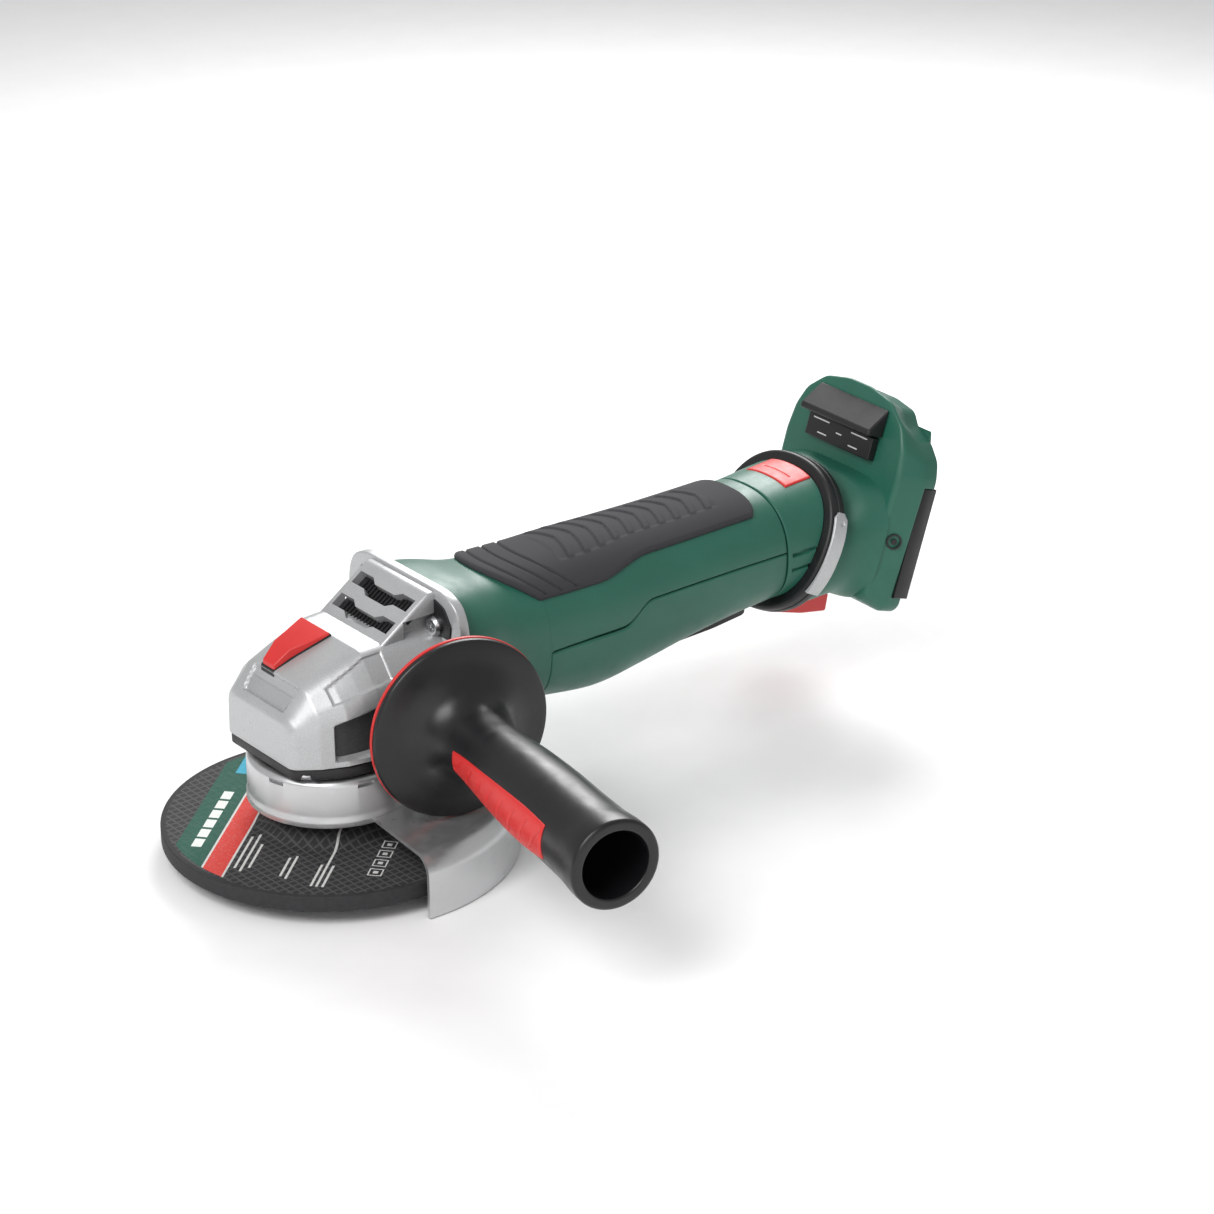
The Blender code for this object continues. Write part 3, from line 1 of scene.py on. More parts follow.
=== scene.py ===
"""Looks of a cordless angle grinder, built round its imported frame.

Shapes are worked out in millimetres in the tool's own frame: +X from the gear head to the battery
foot, -Y towards the side handle, +Z up the spindle, with the origin on the spindle's end face.
Meshes are stored in metres. Each sub-assembly is a class that holds its sizes and builds and dresses
its pieces.
"""

from __future__ import annotations

import logging
import math
from dataclasses import dataclass
from enum import Enum
from typing import Optional, Sequence

import bpy
import numpy as np
import numpy.typing as npt
from mathutils import Matrix, Vector


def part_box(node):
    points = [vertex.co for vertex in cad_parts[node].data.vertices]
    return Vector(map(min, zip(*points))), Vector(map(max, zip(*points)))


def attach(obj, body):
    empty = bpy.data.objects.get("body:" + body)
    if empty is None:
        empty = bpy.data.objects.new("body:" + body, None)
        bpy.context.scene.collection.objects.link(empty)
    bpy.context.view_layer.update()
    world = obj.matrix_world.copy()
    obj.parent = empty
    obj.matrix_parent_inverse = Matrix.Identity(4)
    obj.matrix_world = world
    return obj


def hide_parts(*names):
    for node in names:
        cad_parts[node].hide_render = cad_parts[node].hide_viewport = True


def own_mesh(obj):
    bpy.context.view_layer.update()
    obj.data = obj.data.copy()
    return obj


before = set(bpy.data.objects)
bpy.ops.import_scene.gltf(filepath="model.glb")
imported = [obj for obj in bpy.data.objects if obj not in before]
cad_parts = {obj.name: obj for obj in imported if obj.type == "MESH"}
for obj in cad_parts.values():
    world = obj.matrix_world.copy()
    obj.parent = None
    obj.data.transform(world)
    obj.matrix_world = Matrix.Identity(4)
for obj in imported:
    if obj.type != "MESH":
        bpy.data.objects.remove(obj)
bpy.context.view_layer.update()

Array = npt.NDArray[np.float64]
Colour = tuple[float, float, float]

MM = 0.001
TURN = 2.0 * math.pi
LOG = logging.getLogger("angle_grinder")


class Body(Enum):
    """The moving bodies that pieces ride on."""

    HOUSING = "housing"
    SPINDLE = "spindle"
    MOTOR = "motor"
    GUARD = "guard"
    GUARD_LEVER = "guard_lever"
    LOCK_BUTTON = "lock_button"
    PADDLE = "paddle"
    LOCK_OFF = "lock_off"
    PLUNGER = "plunger"
    CATCH = "catch"


# ---- curves and grids, as whole arrays ----
def smooth_through(at: Array, knots: Sequence[float], values: Sequence[float]) -> Array:
    """A smooth curve through knots: cubic Hermite pieces whose slopes are the mean of their neighbours'.

    Args:
        at: Where the curve is read.
        knots: Rising positions.
        values: The curve's value at each knot.

    Returns:
        The values, with the shape of ``at``.
    """
    x = np.asarray(knots, float)
    y = np.asarray(values, float)
    slope = np.gradient(y, x)
    i = np.clip(np.searchsorted(x, at, side="right") - 1, 0, len(x) - 2)
    width = x[i + 1] - x[i]
    t = np.clip((at - x[i]) / width, 0.0, 1.0)
    first = (1 + 2 * t) * (1 - t) ** 2 * y[i] + t * (1 - t) ** 2 * width * slope[i]
    second = t**2 * (3 - 2 * t) * y[i + 1] + t**2 * (t - 1) * width * slope[i + 1]
    return first + second


def step(low: float, high: float, value: Array) -> Array:
    """0 below low, 1 above high, and the cubic 3t^2 - 2t^3 between them."""
    t = np.clip((value - low) / (high - low), 0.0, 1.0)
    return t * t * (3 - 2 * t)


def band(value: Array, middle: float, half: float, soft: float) -> Array:
    """1 within half of the middle, falling to 0 over the soft margin."""
    return 1.0 - step(half - soft / 2, half + soft / 2, np.abs(value - middle))


def superellipse(half_y: Array, half_z: Array, square: Array, angle: Array) -> tuple[Array, Array]:
    """Points of |y/a|^n + |z/b|^n = 1 at an angle: each of cos and sin is raised to 2/n, with its sign."""
    c, s = np.cos(angle), np.sin(angle)
    power = 2.0 / square
    return np.sign(c) * np.abs(c) ** power * half_y, np.sign(s) * np.abs(s) ** power * half_z


def round_corners(corners: Array, radius: float | Array, steps: int = 6) -> Array:
    """A closed outline whose corners give way to parabolas.

    Args:
        corners: (n, d) points in order.
        radius: How far from each corner its curve starts and ends.
        steps: Points on each curve.

    Returns:
        (n * steps, d) points. A curve is (1-t)^2 A + 2t(1-t) C + t^2 B, with C the corner.
    """
    to_last = np.roll(corners, 1, axis=0) - corners
    to_next = np.roll(corners, -1, axis=0) - corners
    last = np.linalg.norm(to_last, axis=1)
    following = np.linalg.norm(to_next, axis=1)
    reach = np.minimum(radius, 0.47 * np.minimum(last, following))
    start = (corners + to_last * (reach / last)[:, None])[:, None]
    end = (corners + to_next * (reach / following)[:, None])[:, None]
    t = np.linspace(0, 1, steps)[None, :, None]
    curve = (1 - t) ** 2 * start + 2 * t * (1 - t) * corners[:, None] + t**2 * end
    return curve.reshape(-1, corners.shape[1])


def even(outline: Array, count: int) -> Array:
    """A closed outline read at evenly spaced lengths along it."""
    loop = np.vstack([outline, outline[:1]])
    length = np.concatenate([[0], np.cumsum(np.linalg.norm(np.diff(loop, axis=0), axis=1))])
    at = np.linspace(0, length[-1], count, endpoint=False)
    return np.stack([np.interp(at, length, loop[:, i]) for i in range(loop.shape[1])], axis=1)


def drawn_in(outline: Array, distance: float) -> Array:
    """A counter-clockwise outline moved inwards along its own normals."""
    along = np.roll(outline, -1, axis=0) - np.roll(outline, 1, axis=0)
    along /= np.linalg.norm(along, axis=1)[:, None] + 1e-12
    return outline + np.stack([-along[:, 1], along[:, 0]], axis=1) * distance


def slab(outline: Array, low: float, high: float, edge: float, steps: int = 4) -> Array:
    """A flat plate with quarter-round edges, as rings of (a, b, height).

    At each end the ring is drawn in by r(1 - sin t) at a depth r(1 - cos t), for t from 0 to 90 degrees.
    """
    t = np.linspace(0, math.pi / 2, steps)
    depth, inward = edge * (1 - np.cos(t)), edge * (1 - np.sin(t))
    levels = [(low + d, i) for d, i in zip(depth, inward)]
    levels += [(high - d, i) for d, i in zip(depth[::-1], inward[::-1])]
    rings = [np.column_stack([drawn_in(outline, i), np.full(len(outline), h)]) for h, i in levels]
    return np.array(rings)


def revolve(profile: Array, sides: int, corner: float | Array = 0.0, steps: int = 4, closed: bool = True) -> Array:
    """A turned surface: the profile (r, h) is carried round Z as (r cos t, r sin t, h).

    Args:
        profile: (n, 2) radius and height.
        sides: Points round the axis.
        corner: Radius that rounds the profile's corners, one for all or one for each.
        steps: Points on each rounded corner.
        closed: Whether the profile is a loop. An open one starts and ends on the axis.

    Returns:
        (profile points, sides, 3) grid.
    """
    outline = np.asarray(profile, float)
    if np.max(corner) > 0:
        size = np.broadcast_to(np.asarray(corner, float), len(outline)).copy()
        if not closed:
            size[[0, -1]] = 1e-4
        outline = round_corners(outline, np.maximum(size, 1e-4), steps)
    t = np.arange(sides) * TURN / sides
    r, h = outline[:, 0][:, None], outline[:, 1][:, None]
    return np.stack([r * np.cos(t), r * np.sin(t), h + 0 * t], axis=2)


def placed(points: Array, where: Matrix) -> Array:
    """Points carried by a 4 x 4 matrix in millimetres."""
    m = np.array(where)
    return points @ m[:3, :3].T + m[:3, 3]


def outward(points: Array, middle: Array) -> Array:
    """Unit normals of a grid, as the cross product of its two gradients, turned away from a middle line."""
    across = np.cross(np.gradient(points, axis=0), np.gradient(points, axis=1))
    across /= np.linalg.norm(across, axis=2)[..., None] + 1e-12
    side = np.sign(np.sum(across * (points - middle), axis=2))[..., None]
    return across * np.where(side == 0, 1.0, side)


# ---- meshes ----
def quads_of(rows: int, columns: int, wrap_rows: bool, wrap_columns: bool) -> npt.NDArray[np.int64]:
    """Vertex numbers of a grid's four-sided faces."""
    index = np.arange(rows * columns).reshape(rows, columns)
    below = np.roll(index, -1, axis=0) if wrap_rows else index[1:]
    here = index if wrap_rows else index[:-1]
    if wrap_columns:
        right, below_right = np.roll(here, -1, axis=1), np.roll(below, -1, axis=1)
    else:
        right, below_right = here[:, 1:], below[:, 1:]
        here, below = here[:, :-1], below[:, :-1]
    return np.stack([here, right, below_right, below], axis=2).reshape(-1, 4)


def mesh_object(name: str, points: Array, faces: Sequence[npt.NDArray[np.int64]],
                sharp: float = 35.0) -> bpy.types.Object:
    """An object from points in millimetres and faces of any size, which all end up facing outwards.

    The faces' signed volume, the sum of p0 . (p1 x p2) over fans of triangles, says whether to turn them.
    """
    flat = points.reshape(-1, 3)
    volume = 0.0
    for group in faces:
        for k in range(1, group.shape[1] - 1):
            a, b, c = flat[group[:, 0]], flat[group[:, k]], flat[group[:, k + 1]]
            volume += float(np.sum(a * np.cross(b, c)))
    groups = [group[:, ::-1] if volume < 0 else group for group in faces]
    loops = np.concatenate([group.reshape(-1) for group in groups])
    sizes = np.concatenate([np.full(len(group), group.shape[1]) for group in groups])
    mesh = bpy.data.meshes.new(name)
    mesh.vertices.add(len(flat))
    mesh.vertices.foreach_set("co", (flat * MM).astype(np.float32).reshape(-1))
    mesh.loops.add(len(loops))
    mesh.loops.foreach_set("vertex_index", loops.astype(np.int32))
    mesh.polygons.add(len(sizes))
    mesh.polygons.foreach_set("loop_start", np.concatenate([[0], np.cumsum(sizes)[:-1]]).astype(np.int32))
    mesh.update(calc_edges=True)
    mesh.validate()
    mesh.shade_smooth()
    mesh.set_sharp_from_angle(angle=math.radians(sharp))
    made = bpy.data.objects.new(name, mesh)
    bpy.context.scene.collection.objects.link(made)
    return made


def skin(name: str, grid: Array, wrap_rows: bool = False, sharp: float = 35.0) -> bpy.types.Object:
    """A closed surface from rings of points: capped with one flat face at each end, or closed on itself."""
    rows, columns = grid.shape[:2]
    faces = [quads_of(rows, columns, wrap_rows, True)]
    if not wrap_rows:
        first = np.arange(columns)[::-1][None]
        last = (np.arange(columns) + (rows - 1) * columns)[None]
        faces += [first, last]
    return mesh_object(name, grid, faces, sharp)


def lathe(name: str, profile: Array, sides: int, corner: float | Array = 0.0, closed: bool = True,
          where: Optional[Matrix] = None, steps: int = 4) -> bpy.types.Object:
    """A turned piece. An open profile starts and ends on the axis, where its first and last rings merge."""
    grid = revolve(profile, sides, corner, steps, closed)
    if where is not None:
        grid = placed(grid, where)
    made = skin(name, grid, wrap_rows=closed)
    weld(made)
    return made


def weld(made: bpy.types.Object, reach: float = 0.002) -> None:
    """Merges points that lie on each other, in millimetres, as at the pole of a turned piece."""
    step_ = made.modifiers.new("Weld", "WELD")
    step_.merge_threshold = reach * MM
    settle(made)


def settle(made: bpy.types.Object) -> None:
    """Replaces an object's mesh with what its modifiers make of it."""
    graph = bpy.context.evaluated_depsgraph_get()
    mesh = bpy.data.meshes.new_from_object(made.evaluated_get(graph))
    made.modifiers.clear()
    old = made.data
    made.data = mesh
    bpy.data.meshes.remove(old)


def bevelled(made: bpy.types.Object, width: float, segments: int = 3, angle: float = 28.0) -> bpy.types.Object:
    """Rounds the sharp edges of a piece, with normals kept flat on its faces."""
    made.data.shade_smooth()
    bevel = made.modifiers.new("Round", "BEVEL")
    bevel.width = width * MM
    bevel.segments = segments
    bevel.limit_method = "ANGLE"
    bevel.angle_limit = math.radians(angle)
    bevel.harden_normals = True
    settle(made)
    return made


def cut_away(made: bpy.types.Object, cutters: Sequence[bpy.types.Object]) -> None:
    """Takes other shapes out of a piece, and removes them."""
    for cutter in cutters:
        tool = made.modifiers.new("Cut", "BOOLEAN")
        tool.operation = "DIFFERENCE"
        tool.solver = "EXACT"
        tool.object = cutter
    settle(made)
    for cutter in cutters:
        bpy.data.objects.remove(cutter)
    made.data.set_sharp_from_angle(angle=math.radians(35))


def bar(name: str, section: Array, low: float, high: float, where: Optional[Matrix] = None,
        edge: float = 0.0, along: str = "Z") -> bpy.types.Object:
    """A straight bar: a section of (a, b) points carried from low to high along one axis, edges rounded.

    Args:
        name: The piece's name.
        section: Corners of the section, (x, z) along Y, (y, z) along X or (x, y) along Z.
        low: Where the bar starts.
        high: Where it ends.
        where: Places it.
        edge: Width of the rounding.
        along: The axis.

    Returns:
        The piece.
    """
    outline = np.asarray(section, float)
    order = {"X": (2, 0, 1), "Y": (0, 2, 1), "Z": (0, 1, 2)}[along]
    ends = [np.column_stack([outline, np.full(len(outline), h)])[:, order] for h in (low, high)]
    grid = np.array(ends)
    if where is not None:
        grid = placed(grid, where)
    made = skin(name, grid)
    return bevelled(made, edge) if edge else made


def joined(name: str, pieces: Sequence[bpy.types.Object]) -> bpy.types.Object:
    """One object that holds the meshes of several, which are removed."""
    points: list[Array] = []
    faces: dict[int, list[npt.NDArray[np.int64]]] = {}
    start = 0
    for piece in pieces:
        mesh = piece.data
        co = np.empty(len(mesh.vertices) * 3, np.float32)
        mesh.vertices.foreach_get("co", co)
        points.append(co.reshape(-1, 3) / MM)
        corners = np.empty(len(mesh.loops), np.int32)
        mesh.loops.foreach_get("vertex_index", corners)
        starts = np.empty(len(mesh.polygons), np.int32)
        mesh.polygons.foreach_get("loop_start", starts)
        sizes = np.diff(np.append(starts, len(corners)))
        for size in np.unique(sizes):
            rows = starts[sizes == size][:, None] + np.arange(size)
            faces.setdefault(int(size), []).append(corners[rows].astype(np.int64) + start)
        start += len(mesh.vertices)
        bpy.data.objects.remove(piece)
    return mesh_object(name, np.concatenate(points).astype(float), [np.concatenate(v) for v in faces.values()])


# ---- node graphs ----
@dataclass
class Graph:
    """A material's node tree, with short words for the nodes that the finishes use."""

    material: bpy.types.Material

    def node(self, kind: str) -> bpy.types.Node:
        """A new node."""
        return self.material.node_tree.nodes.new(kind)

    def join(self, source: bpy.types.NodeSocket, target: bpy.types.NodeSocket) -> None:
        """Links two sockets."""
        self.material.node_tree.links.new(source, target)

    def feed(self, target: bpy.types.NodeSocket, value: object) -> None:
        """Sets a socket to a number, or links it."""
        if isinstance(value, bpy.types.NodeSocket):
            self.join(value, target)
        else:
            target.default_value = value

    def give(self, name: str, value: object) -> None:
        """Feeds an input of the material's shader."""
        self.feed(self.shader.inputs[name], value)

    @property
    def shader(self) -> bpy.types.Node:
        """The material's Principled shader."""
        return self.material.node_tree.nodes["Principled BSDF"]

    def place(self, scale: Sequence[float] = (1, 1, 1), turn: Sequence[float] = (0, 0, 0),
              centre: Sequence[float] = (0, 0, 0)) -> bpy.types.NodeSocket:
        """The object's own coordinates, read from a centre, turned, and scaled.

        Args:
            scale: Multiplies each axis after the turn.
            turn: Radians about X, Y and Z, of the pattern on the object.
            centre: The pattern's middle, in metres.

        Returns:
            The vector socket.
        """
        coordinates = self.node("ShaderNodeTexCoord")
        local = self.node("ShaderNodeMapping")
        local.vector_type = "TEXTURE"
        local.inputs["Location"].default_value = centre
        local.inputs["Rotation"].default_value = turn
        self.join(coordinates.outputs["Object"], local.inputs["Vector"])
        sized = self.node("ShaderNodeVectorMath")
        sized.operation = "MULTIPLY"
        sized.inputs[1].default_value = scale
        self.join(local.outputs["Vector"], sized.inputs[0])
        return sized.outputs["Vector"]

    def noise(self, scale: float, detail: float = 3.0, rough: float = 0.55,
              vector: Optional[bpy.types.NodeSocket] = None) -> bpy.types.NodeSocket:
        """Fractal noise, from 0 to 1."""
        made = self.node("ShaderNodeTexNoise")
        made.inputs["Scale"].default_value = scale
        made.inputs["Detail"].default_value = detail
        made.inputs["Roughness"].default_value = rough
        self.join(vector or self.place(), made.inputs["Vector"])
        return made.outputs["Fac"]

    def maths(self, operation: str, a: object, b: object = 0.0, c: object = 0.0) -> bpy.types.NodeSocket:
        """One step of arithmetic on numbers or sockets."""
        made = self.node("ShaderNodeMath")
        made.operation = operation
        for socket, value in zip(made.inputs, (a, b, c)):
            self.feed(socket, value)
        return made.outputs[0]

    def spread(self, value: object, low: float, high: float, first: float, last: float) -> bpy.types.NodeSocket:
        """A value from low to high carried on to first to last, and held at the ends."""
        made = self.node("ShaderNodeMapRange")
        for name, number in (("From Min", low), ("From Max", high), ("To Min", first), ("To Max", last)):
            made.inputs[name].default_value = number
        self.feed(made.inputs["Value"], value)
        return made.outputs["Result"]

    def mix(self, share: object, first: object, second: object) -> bpy.types.NodeSocket:
        """A colour between two colours."""
        made = self.node("ShaderNodeMix")
        made.data_type = "RGBA"
        self.feed(made.inputs["Factor"], share)
        for name, value in (("A", first), ("B", second)):
            socket = next(s for s in made.inputs if s.name == name and s.type == "RGBA")
            self.feed(socket, (*value, 1.0) if isinstance(value, tuple) else value)
        return next(s for s in made.outputs if s.type == "RGBA")

    def parts(self, vector: bpy.types.NodeSocket) -> tuple[bpy.types.NodeSocket, ...]:
        """A vector's X, Y and Z."""
        made = self.node("ShaderNodeSeparateXYZ")
        self.join(vector, made.inputs[0])
        return tuple(made.outputs)

    def within(self, value: bpy.types.NodeSocket, middle: float, half: float) -> bpy.types.NodeSocket:
        """1 where a value is within half of the middle."""
        return self.maths("LESS_THAN", self.maths("ABSOLUTE", self.maths("SUBTRACT", value, middle)), half)

    def bump(self, height: bpy.types.NodeSocket, depth: float, strength: float = 1.0,
             under: Optional[bpy.types.NodeSocket] = None) -> bpy.types.NodeSocket:
        """A bumped normal. The depth is in millimetres."""
        made = self.node("ShaderNodeBump")
        made.inputs["Distance"].default_value = depth * MM
        made.inputs["Strength"].default_value = strength
        self.join(height, made.inputs["Height"])
        if under is not None:
            self.join(under, made.inputs["Normal"])
        return made.outputs["Normal"]


# ---- finishes ----
@dataclass(frozen=True)
class Finish:
    """A finish with mottled colour, uneven gloss and a fine grain."""

    name: str
    slot: str
    colour: Colour
    rough: float = 0.45
    metallic: float = 0.0
    grain: float = 900.0
    depth: float = 0.05
    mottle: float = 0.12
    coat: float = 0.0
    specular: float = 0.5

    def material(self) -> bpy.types.Material:
        """The finish's material, made once."""
        found = bpy.data.materials.get(self.name)
        if found is not None:
            return found
        made = bpy.data.materials.new(self.name)
        made.use_nodes = True
        graph = Graph(made)
        shader = graph.shader
        shader.inputs["Metallic"].default_value = self.metallic
        shader.inputs["Coat Weight"].default_value = self.coat
        shader.inputs["Coat Roughness"].default_value = 0.25
        shader.inputs["Specular IOR Level"].default_value = self.specular
        self.paint(graph)
        return made

    def paint(self, graph: Graph) -> None:
        """Colour, roughness and grain, each from noise at its own scale."""
        cloud = graph.noise(38.0, 4.0)
        dark = tuple(c * (1 - self.mottle) for c in self.colour)
        light = tuple(min(1.0, c * (1 + self.mottle)) for c in self.colour)
        graph.give("Base Color", graph.mix(graph.spread(cloud, 0.35, 0.65, 0, 1), dark, light))
        smear = graph.noise(160.0, 3.0)
        graph.give("Roughness", graph.spread(smear, 0.3, 0.7, self.rough - 0.05, self.rough + 0.07))
        graph.give("Normal", graph.bump(graph.noise(self.grain, 2.0, 0.6), self.depth))


@dataclass(frozen=True)
class Brushed(Finish):
    """Metal with fine lines, turned round an axis or drawn along it."""

    lines: tuple[float, float, float] = (60.0, 60.0, 2600.0)

    def paint(self, graph: Graph) -> None:
        """Noise stretched along one axis gives the lines, in gloss, colour and height."""
        streaks = graph.noise(1.0, 3.0, 0.6, graph.place(scale=self.lines))
        dark = tuple(c * (1 - self.mottle) for c in self.colour)
        graph.give("Base Color", graph.mix(streaks, dark, self.colour))
        graph.give("Roughness", graph.spread(streaks, 0.3, 0.7, self.rough - 0.06, self.rough + 0.1))
        graph.give("Normal", graph.bump(streaks, self.depth))


@dataclass(frozen=True)
class CastPaint(Finish):
    """Silver paint over a die casting: a fine orange peel, metal flake, and dirt in a broad cloud."""

    def paint(self, graph: Graph) -> None:
        """The flake is a sharp fine noise in the colour, and the peel a soft one in the height."""
        flake = graph.noise(2600.0, 1.0, 0.4)
        cloud = graph.noise(30.0, 5.0, 0.6)
        dark = tuple(c * (1 - self.mottle) for c in self.colour)
        light = tuple(min(1.0, c * (1 + self.mottle)) for c in self.colour)
        base = graph.mix(graph.spread(cloud, 0.3, 0.7, 0, 1), dark, self.colour)
        graph.give("Base Color", graph.mix(graph.spread(flake, 0.45, 0.62, 0, 0.7), base, light))
        graph.give("Roughness", graph.spread(cloud, 0.3, 0.7, self.rough - 0.05, self.rough + 0.08))
        peel = graph.bump(graph.noise(420.0, 2.0, 0.5), self.depth)
        graph.give("Normal", graph.bump(flake, self.depth / 3, 1.0, peel))


@dataclass(frozen=True)
class Grit(Finish):
    """A resin-bonded wheel: grit, a glass mesh under it, and a printed paper label of plain shapes."""

    lean: float = math.radians(40.8)
    green: Colour = (0.012, 0.085, 0.058)
    red: Colour = (0.62, 0.045, 0.035)
    pale: Colour = (0.62, 0.62, 0.6)
    cyan: Colour = (0.05, 0.36, 0.5)
    top: float = 0.0

    def paint(self, graph: Graph) -> None:
        """Each printed shape is a strip in label axes: u runs along the stripes, and n across them."""
        place = graph.place(scale=(1000, 1000, 1000), turn=(0, 0, self.lean))
        u, n, height = graph.parts(place)
        radius = graph.maths("SQRT", graph.maths("ADD", graph.maths("MULTIPLY", u, u), graph.maths("MULTIPLY", n, n)))
        grit = graph.noise(1500.0, 3.0, 0.7)
        coarse = graph.noise(520.0, 4.0, 0.65)
        weave = graph.maths("MULTIPLY", self.weave(graph), graph.maths("LESS_THAN", radius, 60.5))
        base = graph.mix(graph.spread(coarse, 0.3, 0.7, 0, 1), (0.012, 0.012, 0.013), self.colour)
        base = graph.mix(graph.maths("MULTIPLY", weave, 0.35), base, (0.16, 0.16, 0.16))
        on_top = graph.maths("GREATER_THAN", height, self.top - 0.2)
        inner = graph.maths("LESS_THAN", radius, 59.5)
        label = graph.maths("MULTIPLY", on_top, inner)
        worn = graph.maths("MULTIPLY", label, graph.spread(grit, 0.28, 0.42, 0.55, 1.0))
        colour = base
        colour = self.strip(graph, colour, worn, u, n, (0, 200), (42.0, 7.5), self.green)
        colour = self.strip(graph, colour, worn, u, n, (0, 200), (31.0, 4.9), self.pale)
        colour = self.strip(graph, colour, worn, u, n, (0, 200), (31.0, 4.1), self.red)
        for middle, half in ((-30.0, 3.0), (-22.5, 3.0), (-15.0, 3.0), (-7.5, 3.0), (0.0, 3.0), (7.5, 3.0)):
            colour = self.strip(graph, colour, worn, u, n, (middle, half), (42.0, 1.9), (0.75, 0.77, 0.74))
        for across, middle, half in ((24.0, -34.0, 12.0), (21.5, -34.0, 14.0), (19.0, -36.0, 9.0), (6.5, -42.0, 7.0),
                                     (4.2, -42.0, 8.5), (-6.0, -46.0, 8.0), (-8.0, -36.0, 18.0), (-10.2, -46.0, 8.0)):
            colour = self.strip(graph, colour, worn, u, n, (middle, half), (across, 0.45), self.pale)
        for middle in (-40.0, -33.0, -26.0, -19.0):
            for half, paint in ((2.6, self.pale), (2.1, (0.02, 0.02, 0.02)), (0.9, self.pale)):
                colour = self.strip(graph, colour, worn, u, n, (middle, half), (-26.0, half), paint)
        colour = self.strip(graph, colour, worn, u, n, (33.0, 7.5), (38.0, 6.0), self.cyan)
        graph.give("Base Color", colour)
        graph.give("Roughness", graph.spread(coarse, 0.3, 0.7, self.rough - 0.1, self.rough + 0.08))
        rough = graph.maths("ADD", graph.maths("MULTIPLY", grit, 0.6), graph.maths("MULTIPLY", weave, 0.5))
        graph.give("Normal", graph.bump(rough, self.depth))

    def strip(self, graph: Graph, under: bpy.types.NodeSocket, worn: bpy.types.NodeSocket, u: bpy.types.NodeSocket,
              n: bpy.types.NodeSocket, length: tuple[float, float], width: tuple[float, float],
              paint: Colour) -> bpy.types.NodeSocket:
        """One printed rectangle, given by its middle and half size each way, over what is under it."""
        inside = graph.maths("MULTIPLY", graph.within(u, *length), graph.within(n, *width))
        return graph.mix(graph.maths("MULTIPLY", inside, worn), under, paint)

    def weave(self, graph: Graph) -> bpy.types.NodeSocket:
        """Threads every 3 mm both ways: each is a raised cosine of the place, and the higher one shows."""
        x, y, _ = graph.parts(graph.place(scale=(2094.0, 2094.0, 2094.0)))
        wave_x = graph.maths("POWER", graph.maths("MAXIMUM", graph.maths("COSINE", x), 0.0), 3.0)
        wave_y = graph.maths("POWER", graph.maths("MAXIMUM", graph.maths("COSINE", y), 0.0), 3.0)
        return graph.maths("MAXIMUM", wave_x, wave_y)


SILVER = CastPaint("cast_silver_paint", "silver", (0.47, 0.478, 0.482), 0.36, 0.5, depth=0.03, mottle=0.12)
# A darker grey of the silver paint for the plate in the nose recess: painted shade.
CAST_PAINTED_SHADE = CastPaint("cast_painted_shade_nose", "silver", (0.4, 0.405, 0.41), 0.42, 0.45, depth=0.03, mottle=0.1)
# Near-black paint for the sheets in the side recesses: painted shade, not a colour of the casting.
SHADE = CastPaint("cast_painted_shade_side", "silver", (0.05, 0.05, 0.052), 0.6, 0.3, depth=0.05, mottle=0.3)
GUARD_METAL = Brushed("satin_sheet_metal", "guard_metal", (0.62, 0.625, 0.63), 0.33, 0.85, depth=0.008, mottle=0.1,
                      lines=(220.0, 220.0, 220.0))
STEEL = Brushed("bright_steel", "steel", (0.56, 0.56, 0.57), 0.28, 1.0, depth=0.01, mottle=0.18)
GREEN = Finish("green_moulding", "green_plastic", (0.016, 0.112, 0.074), 0.4, grain=1500.0, depth=0.025, mottle=0.06)
BLACK = Finish("black_moulding", "black_plastic", (0.006, 0.006, 0.007), 0.42, grain=1200.0, depth=0.03, mottle=0.2)
GREY = Finish("grey_moulding", "grey_plastic", (0.075, 0.072, 0.075), 0.42, grain=1200.0, depth=0.03)
RUBBER = Finish("soft_rubber", "soft_rubber", (0.008, 0.008, 0.01), 0.42, grain=1700.0, depth=0.05, mottle=0.15)
GRIP_RUBBER = Finish("grip_rubber", "soft_rubber", (0.005, 0.005, 0.006), 0.34, grain=1700.0, depth=0.02, mottle=0.12)
RED = Finish("red_moulding", "red_plastic", (0.58, 0.022, 0.02), 0.38, grain=1400.0, depth=0.02, mottle=0.05)
PALE_PRINT = Finish("pale_print", "grey_plastic", (0.6, 0.6, 0.6), 0.5, grain=1400.0, depth=0.01)
DARK_COVER = Finish("dark_cover", "grey_plastic", (0.009, 0.009, 0.01), 0.45, grain=1200.0, depth=0.02)
BRASS = Brushed("contact_brass", "brass", (0.7, 0.5, 0.22), 0.3, 1.0, depth=0.01)
COPPER = Finish("winding_copper", "copper", (0.45, 0.2, 0.1), 0.4, 0.9, grain=700.0, depth=0.2)
IRON = Brushed("laminated_iron", "core_iron", (0.2, 0.2, 0.21), 0.45, 0.9, depth=0.03, lines=(2600.0, 60.0, 60.0))
BOARD = Finish("coated_board", "circuit_board", (0.01, 0.07, 0.035), 0.35, grain=600.0, depth=0.05)


